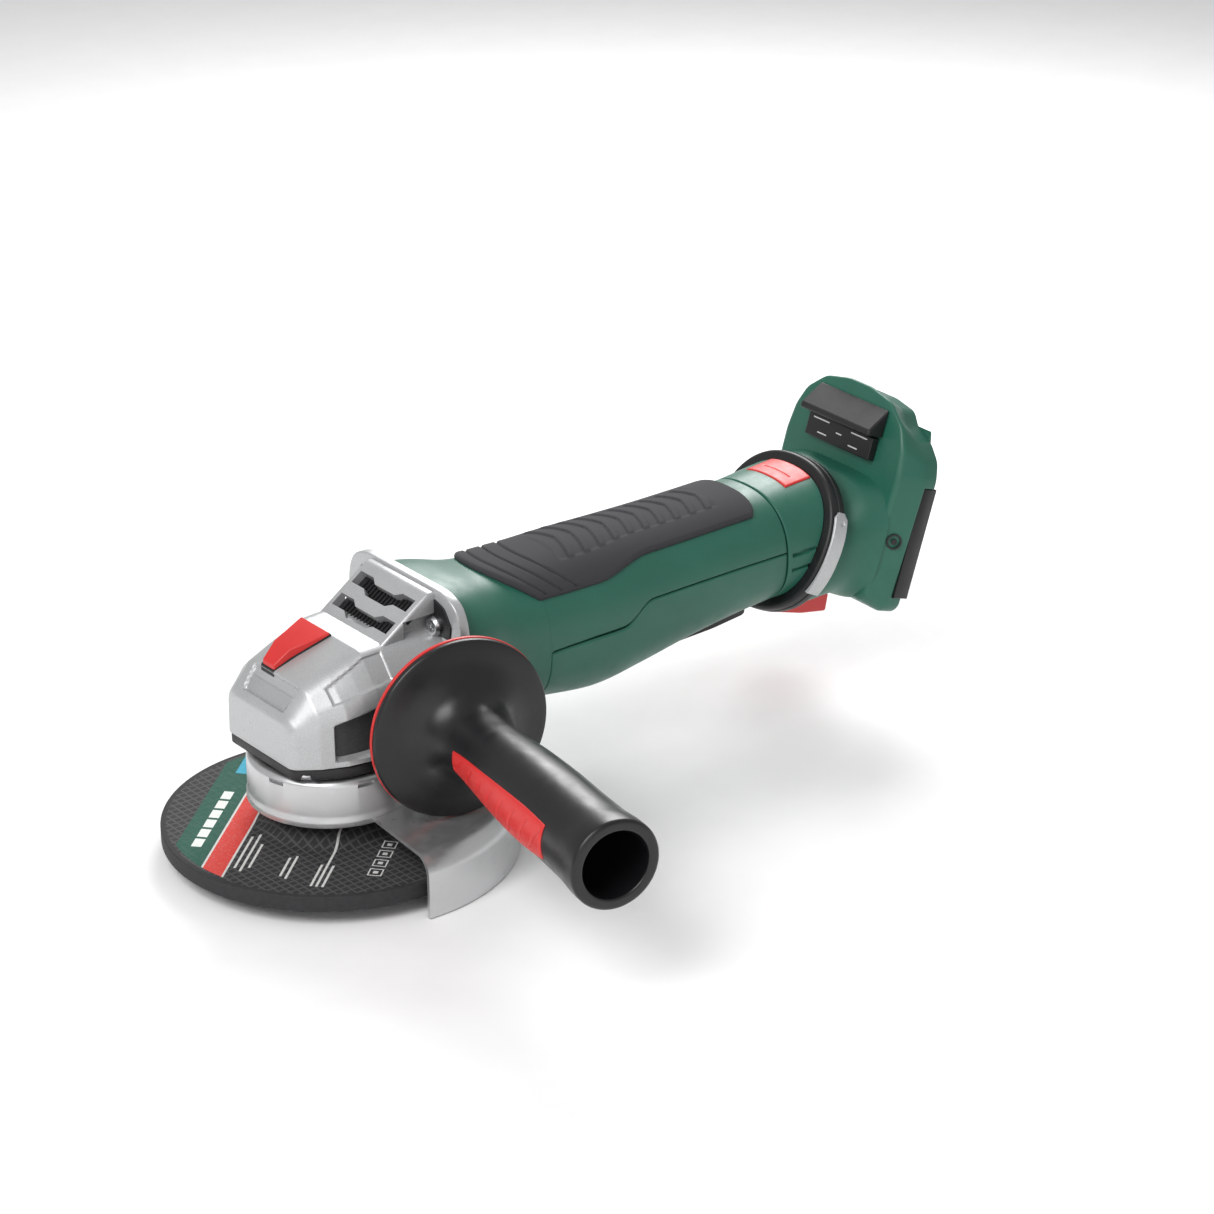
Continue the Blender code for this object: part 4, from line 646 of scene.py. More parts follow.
@dataclass
class Assembly:
    """What every sub-assembly can do: put a finished piece on a body, and dress the frame's own nodes."""

    def put(self, piece: bpy.types.Object, finish: Finish, body: Body, *nodes: str) -> bpy.types.Object:
        """Dresses a piece, rides it on a body, and names the frame's nodes that it stands for.

        Args:
            piece: The piece, in place.
            finish: Its finish.
            body: The body that it moves with.
            nodes: The frame's nodes that it replaces.

        Returns:
            The piece.
        """
        piece.data.materials.clear()
        piece.data.materials.append(finish.material())
        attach(piece, body.value)
        if nodes:
            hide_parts(*nodes)
        LOG.info("%s on %s, %d faces", piece.name, body.value, len(piece.data.polygons))
        return piece

    def dress(self, finish: Finish, *nodes: str) -> None:
        """Gives nodes of the frame a finish."""
        for node in nodes:
            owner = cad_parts[node]
            if not owner.material_slots:
                owner.data.materials.append(finish.material())
            for holder in owner.material_slots:
                holder.material = finish.material()
            LOG.info("%s dressed in %s", node, finish.name)


    def spring(self, node: str, joint: str, turns: int, travel: float, upper: bool) -> None:
        """A wound wire in a spring's place.

        The wire's middle line is (r cos 2pi nt, r sin 2pi nt, h), where h rises as t with flatter end turns.

        Args:
            node: The frame's node that it replaces.
            joint: The spring's joint; not used.
            turns: How many turns it has.
            travel: How much shorter it would get, in millimetres; not used.
            upper: True if its upper end stays in place; not used.
        """
        low, high = (np.array(corner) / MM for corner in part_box(node))
        wire = 0.4
        t = np.linspace(0, 1, turns * 36)[:, None]
        angle = TURN * turns * t
        around = np.linspace(0, TURN, 12, endpoint=False)[None]
        radius = (high[0] - low[0]) / 2 - wire - 0.1 + wire * np.cos(around)
        rise = low[2] + wire + (high[2] - low[2] - 2 * wire) * (t - 0.06 * np.sin(2 * TURN * t) / 2)
        middle = (low + high) / 2
        grid = np.stack([middle[0] + radius * np.cos(angle), middle[1] + radius * np.sin(angle),
                         rise + wire * np.sin(around)], axis=2)
        piece = skin(f"{node}_fine", grid, wrap_rows=False, sharp=60.0)
        self.put(piece, STEEL, Body.HOUSING, node)
        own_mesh(piece)


# ---- frames of the leaning parts ----
def leaning(x: float, z: float, degrees: float) -> Matrix:
    """A plane that leans to the rear: its X is the rearward normal, and its Z runs up the plane."""
    return Matrix.Translation((x, 0, z)) @ Matrix.Rotation(math.radians(degrees), 4, "Y")


ACROSS = Matrix(((0, 0, 1, 0), (1, 0, 0, 0), (0, 1, 0, 0), (0, 0, 0, 1)))
"""Turns a flat outline so that its X runs along Y, its Y runs up, and its height runs along X."""
RING_FRAME = leaning(210.0, 66.0, 27.0)
FOOT_FRAME = leaning(253.0, 67.0, 18.6)
HANDLE_SWEEP = math.radians(10.0)
HANDLE_RUN = Vector((-math.sin(HANDLE_SWEEP), -math.cos(HANDLE_SWEEP), 0))
HANDLE_FRAME = Matrix.Translation((24.0, -45.0, 57.3)) @ HANDLE_RUN.to_track_quat("Z", "Y").to_matrix().to_4x4()


@dataclass
class WheelSet(Assembly):
    """The grinding wheel and what clamps it to the spindle."""

    top: float = 11.0
    thick: float = 6.0
    rise: float = 4.5
    radius: float = 62.5
    hub: float = 22.5
    bore: float = 11.15

    def build(self) -> None:
        """Makes the wheel, nut, flange and spindle."""
        self.wheel()
        self.nut()
        self.flange()
        self.spindle()
        self.dress(STEEL, "crown_gear")

    def wheel(self) -> None:
        """A turned plate with a raised hub. Its rim keeps a crisp edge, and its hub blends with soft corners."""
        top, low, lift = self.top, self.top - self.thick, self.rise
        profile = np.array([
            (self.bore, top + lift), (self.hub, top + lift), (self.hub + lift, top), (59.6, top), (60.0, top + 0.01),
            (self.radius, top - 0.02), (self.radius, low), (self.hub + lift + 1, low), (self.hub + 1, low + lift),
            (self.bore, low + lift),
        ])
        rounding = np.array([0.2, 2.0, 3.0, 0.1, 0.1, 0.45, 0.5, 3.0, 2.0, 0.2])
        wheel = lathe("grinding_wheel_fine", profile, 256, rounding, steps=5)
        grit = Grit("bonded_grit", "abrasive", (0.03, 0.03, 0.032), 0.78, grain=1500.0, depth=0.22, top=top)
        self.put(wheel, grit, Body.SPINDLE, "grinding_wheel")

    def nut(self) -> None:
        """A round nut with two spanner holes in its under face."""
        top = self.top + self.rise - self.thick - 0.3
        low = top - 7.6
        profile = np.array([(7.1, top), (19.5, top), (19.5, top - 3.5), (17.5, low), (7.1, low)])
        nut = lathe("clamp_nut_fine", profile, 128, 0.4)
        holes = []
        for turn in (45, 225):
            x, y = 13 * math.cos(math.radians(turn)), 13 * math.sin(math.radians(turn))
            drill = lathe("drill", np.array([(0, top - 2.5), (2.4, top - 2.5), (2.4, low - 1), (0, low - 1)]), 32,
                          closed=False, where=Matrix.Translation((x, y, 0)))
            holes.append(drill)
        cut_away(nut, holes)
        self.put(nut, STEEL, Body.SPINDLE, "clamp_nut")

    def flange(self) -> None:
        """The stepped flange above the wheel."""
        low = self.top + self.rise + 0.3
        profile = np.array([(7.1, low + 5.6), (17.0, low + 5.6), (20.0, low + 2.2), (20.0, low), (10.85, low),
                            (10.85, low - 3), (7.1, low - 3)])
        self.put(lathe("inner_flange_fine", profile, 128, 0.35), STEEL, Body.SPINDLE, "inner_flange")

    def spindle(self) -> None:
        """The spindle, with the crests of its thread as V rings: a saw tooth of 0.7 mm every 2 mm."""
        rings = np.arange(1.2, 20.0, 1.0)
        crest = np.where(np.arange(len(rings)) % 2 == 0, 6.8, 6.25)
        thread = [(r, z) for r, z in zip(crest[::-1], rings[::-1])]
        profile = np.array([(0, 72), (5, 72), (5, 61), (7.3, 61), (7.3, 29), (9, 29), (9, 21.7), (6.8, 21.7),
                            *thread, (6.2, 0), (0, 0)])
        spindle = lathe("spindle_fine", profile, 64, 0.15, closed=False)
        self.put(spindle, STEEL, Body.SPINDLE, "spindle")


@dataclass
class WheelGuard(Assembly):
    """The pressed guard, its collar, and the lever that holds it."""

    radius: float = 68.5
    sheet: float = 1.5
    low: float = -1.0
    deck: float = 22.8
    arc_near: float = 95.0
    arc_far: float = 78.0
    collar: float = 30.5
    collar_top: float = 39.3
    bore: float = 25.9

    def build(self) -> None:
        """Makes the guard as a swept sheet on a turned collar, and the lever."""
        sheet = skin("guard_sheet", self.swept())
        low, top = self.deck - self.sheet, self.collar_top
        profile = np.array([
            (self.bore, top - 0.8), (self.bore + 0.8, top), (self.collar - 1.6, top), (self.collar, top - 1.4),
            (self.collar, low + 4.0), (self.collar + 0.45, low + 2.0), (self.collar + 0.45, low), (self.bore, low),
        ])
        collar = lathe("guard_collar", profile, 192, np.array([0.2, 0.4, 0.9, 0.9, 0.8, 0.3, 0.3, 0.3]))
        cut_away(collar, [self.notch(turn, top - 2.4) for turn in (-164, -100, 16, 80)])
        self.put(joined("guard_fine", [sheet, collar]), GUARD_METAL, Body.GUARD, "guard")
        self.lever()

    def notch(self, turn: float, middle: float) -> bpy.types.Object:
        """A short slot in the collar's side, at an angle and a middle height."""
        outline = np.array([(self.collar - 1.6, -3.2), (self.collar + 2, -3.2), (self.collar + 2, 3.2),
                            (self.collar - 1.6, 3.2)])
        return bar("notch", outline, middle - 0.8, middle + 0.8, Matrix.Rotation(math.radians(turn), 4, "Z"))

    def swept(self) -> Array:
        """The sheet's section carried round the wheel: cover, rounded shoulder, skirt and a rolled lower edge."""
        r, t = self.radius, self.sheet
        section = np.array([
            (self.collar - 2, self.deck - t), (r - 5.2, self.deck - t), (r - t, self.deck - 5.2),
            (r - t, self.low + 1.5),
            (r - t - 0.5, self.low), (r - 0.3, self.low), (r, self.low + 1.2), (r, self.deck - 4.6),
            (r - 4.6, self.deck), (self.collar - 2, self.deck),
        ])
        rounding = np.array([0.3, 4.0, 4.0, 1.0, 0.5, 0.4, 1.0, 4.2, 4.2, 0.3])
        outline = round_corners(section, rounding, 7)
        angle = np.radians(np.linspace(-self.arc_near, self.arc_far, 177))[:, None]
        radius, height = outline[:, 0][None], outline[:, 1][None]
        return np.stack([radius * np.cos(angle), radius * np.sin(angle), height + 0 * angle], axis=2)

    def lever(self) -> None:
        """The pressed steel lever on its pin, with a thumb tab."""
        reach = self.collar + 6.5
        turn = math.radians(-52)
        x, y = reach * math.cos(turn), reach * math.sin(turn)
        out = np.array((math.cos(turn), math.sin(turn)))
        side = np.array((-out[1], out[0]))
        corners = np.array([(3.8, -4.0), (3.8, 8.0), (6.5, 20.0), (3.5, 22.0), (-1.0, 15.0), (-3.4, 6.0),
                            (-4.4, -7.0)])
        outline = np.array((x, y)) + corners[:, :1] * out + corners[:, 1:] * side
        lever = bar("guard_lever_fine", round_corners(outline, 1.2, 4), self.deck + 5.0, self.deck + 14.2, edge=0.35)
        self.put(lever, STEEL, Body.GUARD_LEVER, "guard_lever")
        self.dress(STEEL, "guard_lever_pin")


def skew(x: Array) -> Array:
    """How far the head's middle lies from Y = 0: it leans away from the handle's side towards the nose."""
    return 2.5 * np.clip((-4.0 - x) / 24.6, 0.0, 1.0)


def head_outline(inset: float, rear: float) -> Array:
    """The gear head's outline from above at its underside, counter-clockwise."""
    front, half, side = -28.6 + inset, 20.5 - inset / 2, 30.0 - inset
    right = np.array([(front, -half), (front + 4, -half - 3.0), (-13.0, -side + 1.0), (-4.0, -side), (rear, -side)])
    outline = np.vstack([right, right[::-1] * (1, -1)])
    outline[:, 1] += skew(outline[:, 0])
    return outline


@dataclass
class GearHead(Assembly):
    """The silver gear housing with its flange, vents, bosses and screws, and the black bearing cover."""

    low: float = 45.0
    deck: float = 83.3
    plate_x: float = 34.0
    screw_y: float = 20.5
    cover_screws: tuple[tuple[float, float], ...] = ((-22.5, -18.0), (-22.5, 18.0), (22.5, -18.0), (22.5, 18.0))
    stations: tuple[tuple[float, float, float, float, float], ...] = (
        (-28.6, 20.5, 17.0, 60.0, 62.5),
        (-26.5, 22.0, 17.0, 61.5, 64.5),
        (-20.0, 26.0, 16.5, 65.5, 73.5),
        (-11.0, 29.0, 17.0, 68.0, 77.8),
        (1.5, 30.0, 19.0, 70.5, 83.0),
        (14.0, 30.0, 19.5, 72.0, 83.3),
        (26.0, 30.0, 19.5, 74.0, 83.3),
        (34.2, 31.0, 19.5, 75.0, 83.3),
    )

    def build(self) -> None:
        """Makes each piece of the head."""
        shell = self.shell()
        plate = self.plate()
        vent = self.vent()
        bosses = [self.boss(side) for side in (-1, 1)]
        self.put(joined("gear_housing_fine", [shell, plate, vent, *bosses]), SILVER, Body.HOUSING, "gear_housing")
        # Painted shade: a darker plate in the nose's recess.
        self.put(self.nose_shade_plate(), CAST_PAINTED_SHADE, Body.HOUSING)
        # Painted shade: near-black sheets inside the side recesses.
        self.put(joined("side_recess_painted_shade", [self.side_shade_sheet(side) for side in (-1, 1)]), SHADE, Body.HOUSING)
        # Painted shadow: black plates in the pockets between the vent block and the flange.
        self.put(joined("flange_shadow", [self.flange_shadow(side) for side in (-1, 1)]), BLACK, Body.HOUSING)
        # Painted shade: black ribbed plates behind the vent slots.
        self.put(self.vent_shade_plates(), BLACK, Body.HOUSING)
        self.cover()
        self.screws()
        self.dress(SILVER, "bearing_plate")
        self.dress(STEEL, "spindle_bearing", "needle_bearing")

    def section(self, x: Array) -> tuple[Array, ...]:
        """Half widths low and high, shoulder height and top height at x, linear between the casting's stations."""
        table = np.array(self.stations)
        return tuple(np.interp(x, table[:, 0], table[:, i]) for i in range(1, 5))

    def shell(self) -> bpy.types.Object:
        """The casting: rounded four-cornered sections along X, with recesses pressed into its skin.

        Each section goes from the foot up the side to the shoulder, in to the top, and back down. The front
        rows are drawn in as r(1 - cos t), so that the nose is rounded.
        """
        nose = 1.8
        t = np.linspace(0, math.pi / 2, 7)
        x = np.concatenate([-28.6 + nose * (1 - np.cos(t)), np.linspace(-26.6, 34.2, 150)])
        inset = np.concatenate([nose * (1 - np.sin(t)), np.zeros(150)])
        low_half, high_half, shoulder, top = self.section(x)
        rings = []
        for i in range(len(x)):
            corners = np.array([
                (-low_half[i], self.low), (-low_half[i] + 0.3, shoulder[i] - 1.0),
                (-high_half[i] - 0.6, top[i] - 0.3),
                (high_half[i] + 0.6, top[i] - 0.3), (low_half[i] - 0.3, shoulder[i] - 1.0), (low_half[i], self.low),
            ])
            corners[:, 0] -= np.sign(corners[:, 0]) * inset[i]
            corners[1:5, 1] -= inset[i]
            outline = round_corners(corners, np.array([0.4, 4.5, 4.0, 4.0, 4.5, 0.4]), 9)
            y, z = even_open(outline, 220).T
            rings.append(np.column_stack([np.full(len(y), x[i]), y, z]))
        grid = np.array(rings)
        middle = np.stack([grid[..., 0], 0 * grid[..., 0], np.full(grid.shape[:2], 62.0)], axis=2)
        normal = outward(grid, middle)
        depth = self.recesses(grid)
        grid = grid - normal * depth[..., None]
        grid[..., 1] += skew(grid[..., 0])
        return skin("head_shell", grid, sharp=50.0)

    def recesses(self, grid: Array) -> Array:
        """Depths of the panels in the casting: one at the nose, one on each shoulder, and one in each side."""
        x, y, z = grid[..., 0], np.abs(grid[..., 1]), grid[..., 2]
        ceiling = self.section(x)[2] - 5.0
        side = band(x, -5.5, 9.5, 0.8) * step(47.0, 48.5, z) * (1 - step(-1.6, 0.0, z - ceiling))
        side *= step(18.0, 20.0, y)
        nose = band(x, -23.5, 2.9, 0.5) * (1 - step(12.5, 13.1, y - 0.18 * (x + 26))) * step(60, 61, z)
        shoulder, top = self.section(x)[2], self.section(x)[3]
        share = (z - shoulder) / (top - shoulder)
        panel = band(x, -2.5, 11.5, 0.5) * band(share, 0.5, 0.36, 0.06) * step(20.2, 20.7, y)
        return 0.7 * panel + 1.1 * nose + 3.4 * side

    def nose_shade_plate(self) -> bpy.types.Object:
        """A darker plate in the nose's recess, between the two heights of the slope: painted shade that stands for
        the shade in the recess.
        """
        x = np.array([-26.0, -22.8])
        top = self.section(x)[3] - 0.25
        half = np.array([12.0, 13.0])
        corners = np.array([(x[0], -half[0], top[0]), (x[0], half[0], top[0]), (x[1], half[1], top[1]),
                            (x[1], -half[1], top[1])])
        corners[:, 1] += skew(corners[:, 0])
        slope = np.array((-0.81, 0.0, 0.59))
        outline = round_corners(corners, 1.2, 5)
        grid = np.array([outline - slope * 1.6, outline - slope * 0.75])
        return bevelled(skin("nose_painted_shade", grid), 0.2, 2)

    def side_shade_sheet(self, side: int) -> bpy.types.Object:
        """Painted shade in a side recess: a thin near-black sheet that follows the wall 3 mm inside it, darker than
        the casting to stand for the shade there.
        """
        x = np.linspace(-14.2, 3.2, 12)[:, None]
        x, share = np.broadcast_arrays(x, np.linspace(0, 1, 8)[None])
        z = 48.2 + (self.section(x)[2] - 6.6 - 48.2) * share
        half = self.section(x)[0]
        sheets = []
        for deep in (3.1, 3.6):
            sheets.append(np.stack([x, side * (half - deep) + skew(x), z], axis=2))
        first, last = sheets if side > 0 else sheets[::-1]
        return skin("side_painted_shade", np.concatenate([first, last[:, ::-1]], axis=1))

    def flange_shadow(self, side: int) -> bpy.types.Object:
        """A black plate beside the vent block, painted shadow for the pocket there that lies in shade: a thin plate
        with cut-off corners.
        """
        edge = side * np.array([19.0, 28.5, 29.5, 25.5, 19.0])
        outline = np.column_stack([edge, [81.0, 81.0, 86.5, 92.5, 94.5]])[:: side]
        where = Matrix.Translation((self.plate_x, 0, 0)) @ ACROSS
        return bar("flange_shadow_plate", round_corners(outline, 1.0, 4), -0.6, 0.2, where, edge=0.2)

    def plate(self) -> bpy.types.Object:
        """The square flange with cut-off corners, and the pockets round its screws."""
        quarter = np.array([(35.0, 19.0), (31.8, 26.8), (24.0, 30.0)])
        top = np.vstack([quarter, quarter[::-1] * (-1, 1)])
        outline = np.vstack([top, top[::-1] * (1, -1)])
        rounded = round_corners(outline, 5.0, 6)
        grid = slab(rounded, 0.0, 4.0, 0.6)
        where = Matrix.Translation((self.plate_x, 0, 68.0)) @ ACROSS
        return skin("head_flange", placed(grid, where))

    def vent_outline(self) -> Array:
        """The vent block from the side: foot, slope, top, and down the flange."""
        return np.array([(9.5, 82.0), (31.0, 97.0), (35.0, 97.0), (35.0, 78.5), (9.5, 78.5)])

    def vent(self) -> bpy.types.Object:
        """The raised block with two wavy slots across its slope."""
        block = bar("vent_block", self.vent_outline(), -19.5, 19.5, edge=1.1, along="Y")
        pockets = []
        for side in (-1, 1):
            aim = Matrix.Translation((20.0, side * self.screw_y, 84.5)) @ Matrix.Rotation(math.pi / 2, 4, "Y")
            profile = np.array([(0, 14), (4.6, 14), (4.6, 0), (0, 0)])
            pockets.append(lathe("pocket", profile, 48, closed=False, where=aim))
        cut_away(block, [self.slot(share) for share in (0.29, 0.70)] + pockets)
        return block

    def slope_frame(self, share: float) -> Matrix:
        """A frame on the vent block's slope: X up the slope, Y across, Z out of it."""
        angle = math.atan2(15.0, 21.5)
        return Matrix.Translation((9.5 + 21.5 * share, 0, 82.0 + 15.0 * share)) @ Matrix.Rotation(-angle, 4, "Y")

    def slot(self, share: float) -> bpy.types.Object:
        """A cutter for one slot: its middle dips by 2.2 mm between two ramps."""
        y = np.array([-16.8, -9.0, -6.0, 6.0, 9.0, 16.8])
        dip = np.array([0.8, 0.8, -1.2, -1.2, 0.8, 0.8])
        upper = np.column_stack([dip + 2.7, y])
        lower = np.column_stack([dip - 2.7, y])[::-1]
        return bar("slot", np.vstack([upper, lower]), -5.0, 6.0, self.slope_frame(share))

    def vent_shade_plates(self) -> bpy.types.Object:
        """Painted shade behind the slots: two dark ribbed plates that stand for the shade inside the vent."""
        plates = []
        for share in (0.29, 0.70):
            outline = np.array([(-4.4, -17.1), (4.0, -17.1), (4.0, 17.1), (-4.4, 17.1)])
            plates.append(bar("slot_shade_plate", outline, -4.9, -3.4, self.slope_frame(share), edge=0.2))
            for y in np.linspace(-14, 14, 15):
                rib = np.array([(-2.8, y - 0.3), (2.8, y - 0.3), (2.8, y + 0.3), (-2.8, y + 0.3)])
                plates.append(bar("rib", rib, -3.6, -2.9, self.slope_frame(share)))
        return joined("vent_slot_shade", plates)

    def boss(self, side: int) -> bpy.types.Object:
        """A round boss with a deep socket for the side handle."""
        base = Vector((24.0 + math.tan(HANDLE_SWEEP) * 12.0, -33.0, 57.3))
        run = HANDLE_RUN.copy()
        if side > 0:
            base.y, run.y = -base.y, -run.y
        where = Matrix.Translation(base) @ run.to_track_quat("Z", "Y").to_matrix().to_4x4()
        profile = np.array([(4.3, 11.5), (11.1, 11.5), (11.2, -4.0), (4.3, -4.0)])
        return lathe("handle_boss", profile, 96, np.array([0.5, 1.0, 0.3, 0.3]), where=where)

    def cover(self) -> None:
        """The black bearing cover: a rounded plate with a neck that the guard's collar turns on."""
        outline = round_corners(head_outline(0.6, 28.0), 3.0, 6)
        plate = skin("cover_plate", slab(outline, 40.5, 44.7, 0.7))
        wells = []
        for x, y in self.cover_screws:
            well = np.array([(0, 43.1), (3.7, 43.1), (3.7, 39.0), (0, 39.0)])
            wells.append(lathe("well", well, 40, closed=False, where=Matrix.Translation((x, y, 0))))
        cut_away(plate, wells)
        neck = lathe("cover_neck", np.array([(11.3, 41.0), (25.5, 41.0), (25.5, 24.8), (11.3, 24.8)]), 128, 0.4)
        turn = math.radians(-52)
        ear = lathe("cover_ear", np.array([(0, 44.7), (5.0, 44.7), (5.0, 40.5), (0, 40.5)]), 48, 0.4, closed=False,
                    where=Matrix.Translation((37 * math.cos(turn), 37 * math.sin(turn), 0)))
        self.put(joined("bearing_cover_fine", [plate, neck, ear]), BLACK, Body.HOUSING, "bearing_cover")

    def screws(self) -> None:
        """Pan-head screws with a star socket, four through the flange and four under the cover."""
        number = 0
        for y in (-self.screw_y, self.screw_y):
            for z in (45.5, 84.5):
                number += 1
                aim = Matrix.Translation((self.plate_x - 0.3, y, z)) @ Matrix.Rotation(-math.pi / 2, 4, "Y")
                self.screw(f"gearbox_screw_{number}", aim, 2.6, 3.8, 11.0)
        for index, (x, y) in enumerate(self.cover_screws):
            aim = Matrix.Translation((x, y, 42.8)) @ Matrix.Rotation(math.pi, 4, "X")
            self.screw(f"cover_screw_{index + 1}", aim, 2.2, 3.4, 10.9)

    def screw(self, name: str, aim: Matrix, high: float, radius: float, long: float) -> None:
        """One screw: the socket's radius is 1.5 + 0.35 cos(6t)."""
        profile = np.array([(0, high - 1.2), (1.5, high - 1.2), (1.7, high), (radius - 0.8, high),
                            (radius, high * 0.5), (radius, 0), (1.9, 0), (1.9, -long), (0, -long)])
        grid = revolve(profile, 60, 0.25, 4, False)
        radial = np.hypot(grid[..., 0], grid[..., 1])
        angle = np.arctan2(grid[..., 1], grid[..., 0])
        star = 1 + 0.2 * np.cos(6 * angle) * (radial < 1.8) * (grid[..., 2] > high - 1.3)
        grid[..., :2] *= star[..., None]
        piece = skin(f"{name}_fine", placed(grid, aim))
        weld(piece)
        self.put(piece, STEEL, Body.HOUSING, name)


def even_open(outline: Array, count: int) -> Array:
    """An open line read at evenly spaced lengths along it, with the first and last points kept."""
    length = np.concatenate([[0], np.cumsum(np.linalg.norm(np.diff(outline, axis=0), axis=1))])
    at = np.linspace(0, length[-1], count)
    return np.stack([np.interp(at, length, outline[:, i]) for i in range(outline.shape[1])], axis=1)


@dataclass
class SpindleLock(Assembly):
    """The red wedge on the head, with its pin and spring."""

    middle: float = 8.0
    back: float = 1.0
    long: float = 21.0

    def build(self) -> None:
        """The wedge: 18 mm wide and flush at its back, 7 mm wide at its nose."""
        corners = []
        for x, z, low, half in ((0.0, 84.0, 79.0, 9.0), (-14.5, 80.2, 74.5, 5.2), (-20.8, 75.2, 72.6, 3.6)):
            corners.append([(self.back + x, self.middle - half, low), (self.back + x, self.middle - half, z),
                            (self.back + x, self.middle + half, z), (self.back + x, self.middle + half, low)])
        wedge = bevelled(skin("lock_button_fine", np.array(corners, float)), 0.5, 4)
        self.put(wedge, RED, Body.LOCK_BUTTON, "spindle_lock_button")
        gap = []
        for x, z, half in ((0.35, 83.4, 9.3), (-14.5, 77.0, 5.6), (-21.3, 73.2, 4.0)):
            gap.append([(self.back + x, self.middle - half, z - 3), (self.back + x, self.middle - half, z),
                        (self.back + x, self.middle + half, z), (self.back + x, self.middle + half, z - 3)])
        self.put(bevelled(skin("lock_button_seat", np.array(gap, float)), 0.1, 2), BLACK, Body.HOUSING)
        self.dress(STEEL, "lock_pin")
        self.spring("lock_spring", "lock_press", 5, 3.5, upper=False)


@dataclass
class MotorBody(Assembly):
    """The green housings round the motor, with the soft grip and the drive inside."""

    wall: float = 2.4
    seam: float = 194.0
    split: float = 80.0
    stations: tuple[tuple[float, float, float, float, float], ...] = (
        (38.3, 68.0, 33.5, 28.5, 2.9),
        (48.0, 67.5, 32.5, 27.8, 2.7),
        (62.0, 66.0, 28.5, 26.2, 2.5),
        (85.0, 63.5, 27.2, 27.6, 2.4),
        (110.0, 62.0, 27.0, 29.0, 2.4),
        (130.0, 63.0, 26.4, 27.4, 2.4),
        (150.0, 64.5, 25.9, 25.4, 2.4),
        (172.0, 66.0, 25.6, 23.8, 2.4),
        (194.0, 67.0, 25.8, 22.8, 2.4),
    )

    def build(self) -> None:
        """Makes the shells and the grip, and dresses what is inside."""
        self.upper()
        self.lower()
        self.grip()
        self.dress(COPPER, "stator")
        self.dress(IRON, "rotor_core")
        self.dress(STEEL, "motor_shaft", "pinion_gear", "front_motor_bearing", "rear_motor_bearing", "paddle_pin")
        self.spring("paddle_spring", "paddle_squeeze", 4, 1.8, upper=True)
        self.dress(BLACK, "cooling_fan", "switch_module")
        self.dress(BOARD, "control_board")
        self.dress(GREY, "capacitor")
        self.dress(RED, "switch_plunger")

    def section(self, x: Array) -> tuple[Array, ...]:
        """Middle height, half width, half height and squareness at x, smooth through the stations."""
        table = np.array(self.stations)
        return tuple(smooth_through(x, table[:, 0], table[:, i]) for i in range(1, 5))

    def split_height(self, x: Array) -> Array:
        """Height of the seam between the upper and lower shells: level, then up a ramp, then level."""
        return 62.0 + 7.6 * step(114.0, 129.0, x)

    def split_angle(self, x: Array) -> Array:
        """The angle round the section where the seam lies: the superellipse read backwards."""
        middle, _, half_z, square = self.section(x)
        d = (self.split_height(x) - middle) / half_z
        return np.arcsin(np.clip(np.sign(d) * np.abs(d) ** (square / 2), -1, 1))

    def surface(self, x: Array, angle: Array, proud: Array | float = 0.0) -> Array:
        """Points of the body: the section's superellipse at each x, moved out along Y and Z by proud."""
        middle, half_y, half_z, square = self.section(x)
        y, z = superellipse(half_y + proud, half_z + proud, square, angle)
        return np.stack([x + 0 * y, y, middle + z], axis=2)

    def shell_of(self, name: str, x: Array, start: Array, end: Array, columns: int) -> bpy.types.Object:
        """A curved wall between two angles at each x, with its edges eased.

        Each row runs from start to end on the outside and back on the inside. The outside is sunk by
        r - sqrt(r^2 - (r - d)^2), where d is the distance to the nearest edge, so edges are rounded.
        """
        share = np.linspace(0, 1, columns)
        share = share + 0.035 * np.sin(TURN * share) * -1
        rows = x[:, None] + 0 * share[None]
        angle = start[:, None] + (end - start)[:, None] * share[None]
        outer = self.surface(rows, angle)
        middle = np.stack([rows, 0 * rows, self.section(rows)[0]], axis=2)
        normal = outward(outer, middle)
        ease = 0.6
        near = np.minimum(rows - rows.min(), rows.max() - rows)
        across = np.linalg.norm(np.diff(outer, axis=1), axis=2)
        run = np.concatenate([np.zeros((len(x), 1)), np.cumsum(across, axis=1)], axis=1)
        side = np.minimum(run, run[:, -1:] - run)
        is_ring = (end - start > TURN - 0.05)[:, None]
        side = np.where(is_ring, ease, side)
        d = np.clip(np.minimum(near, side), 0, ease)
        sunk = ease - np.sqrt(ease**2 - (ease - d) ** 2)
        inner = outer - normal * self.wall
        outer = outer - normal * sunk[..., None]
        return skin(name, np.concatenate([outer, inner[:, ::-1]], axis=1), sharp=45.0)

    def rows(self, low: float, high: float, count: int) -> Array:
        """Places along X, closer at both ends, where the edges are rounded."""
        edge = np.array([0.0, 0.08, 0.2, 0.4, 0.65])
        return np.concatenate([low + edge, np.linspace(low + 1.2, high - 1.2, count), high - edge[::-1]])

    def upper(self) -> None:
        """The motor housing: a full ring in front of the split, and the part above the seam behind it."""
        front = self.rows(38.3, self.split, 44)[:-5]
        rear = self.rows(self.split, self.seam, 80)[5:]
        x = np.concatenate([front, [self.split - 0.4, self.split - 0.02, self.split + 0.02], rear])
        angle = np.where(x < self.split, -math.pi / 2 + 1e-3, self.split_angle(x) + 0.006)
        body = self.shell_of("motor_housing_fine", x, angle, math.pi - angle, 200)
        self.put(body, GREEN, Body.HOUSING, "motor_housing")

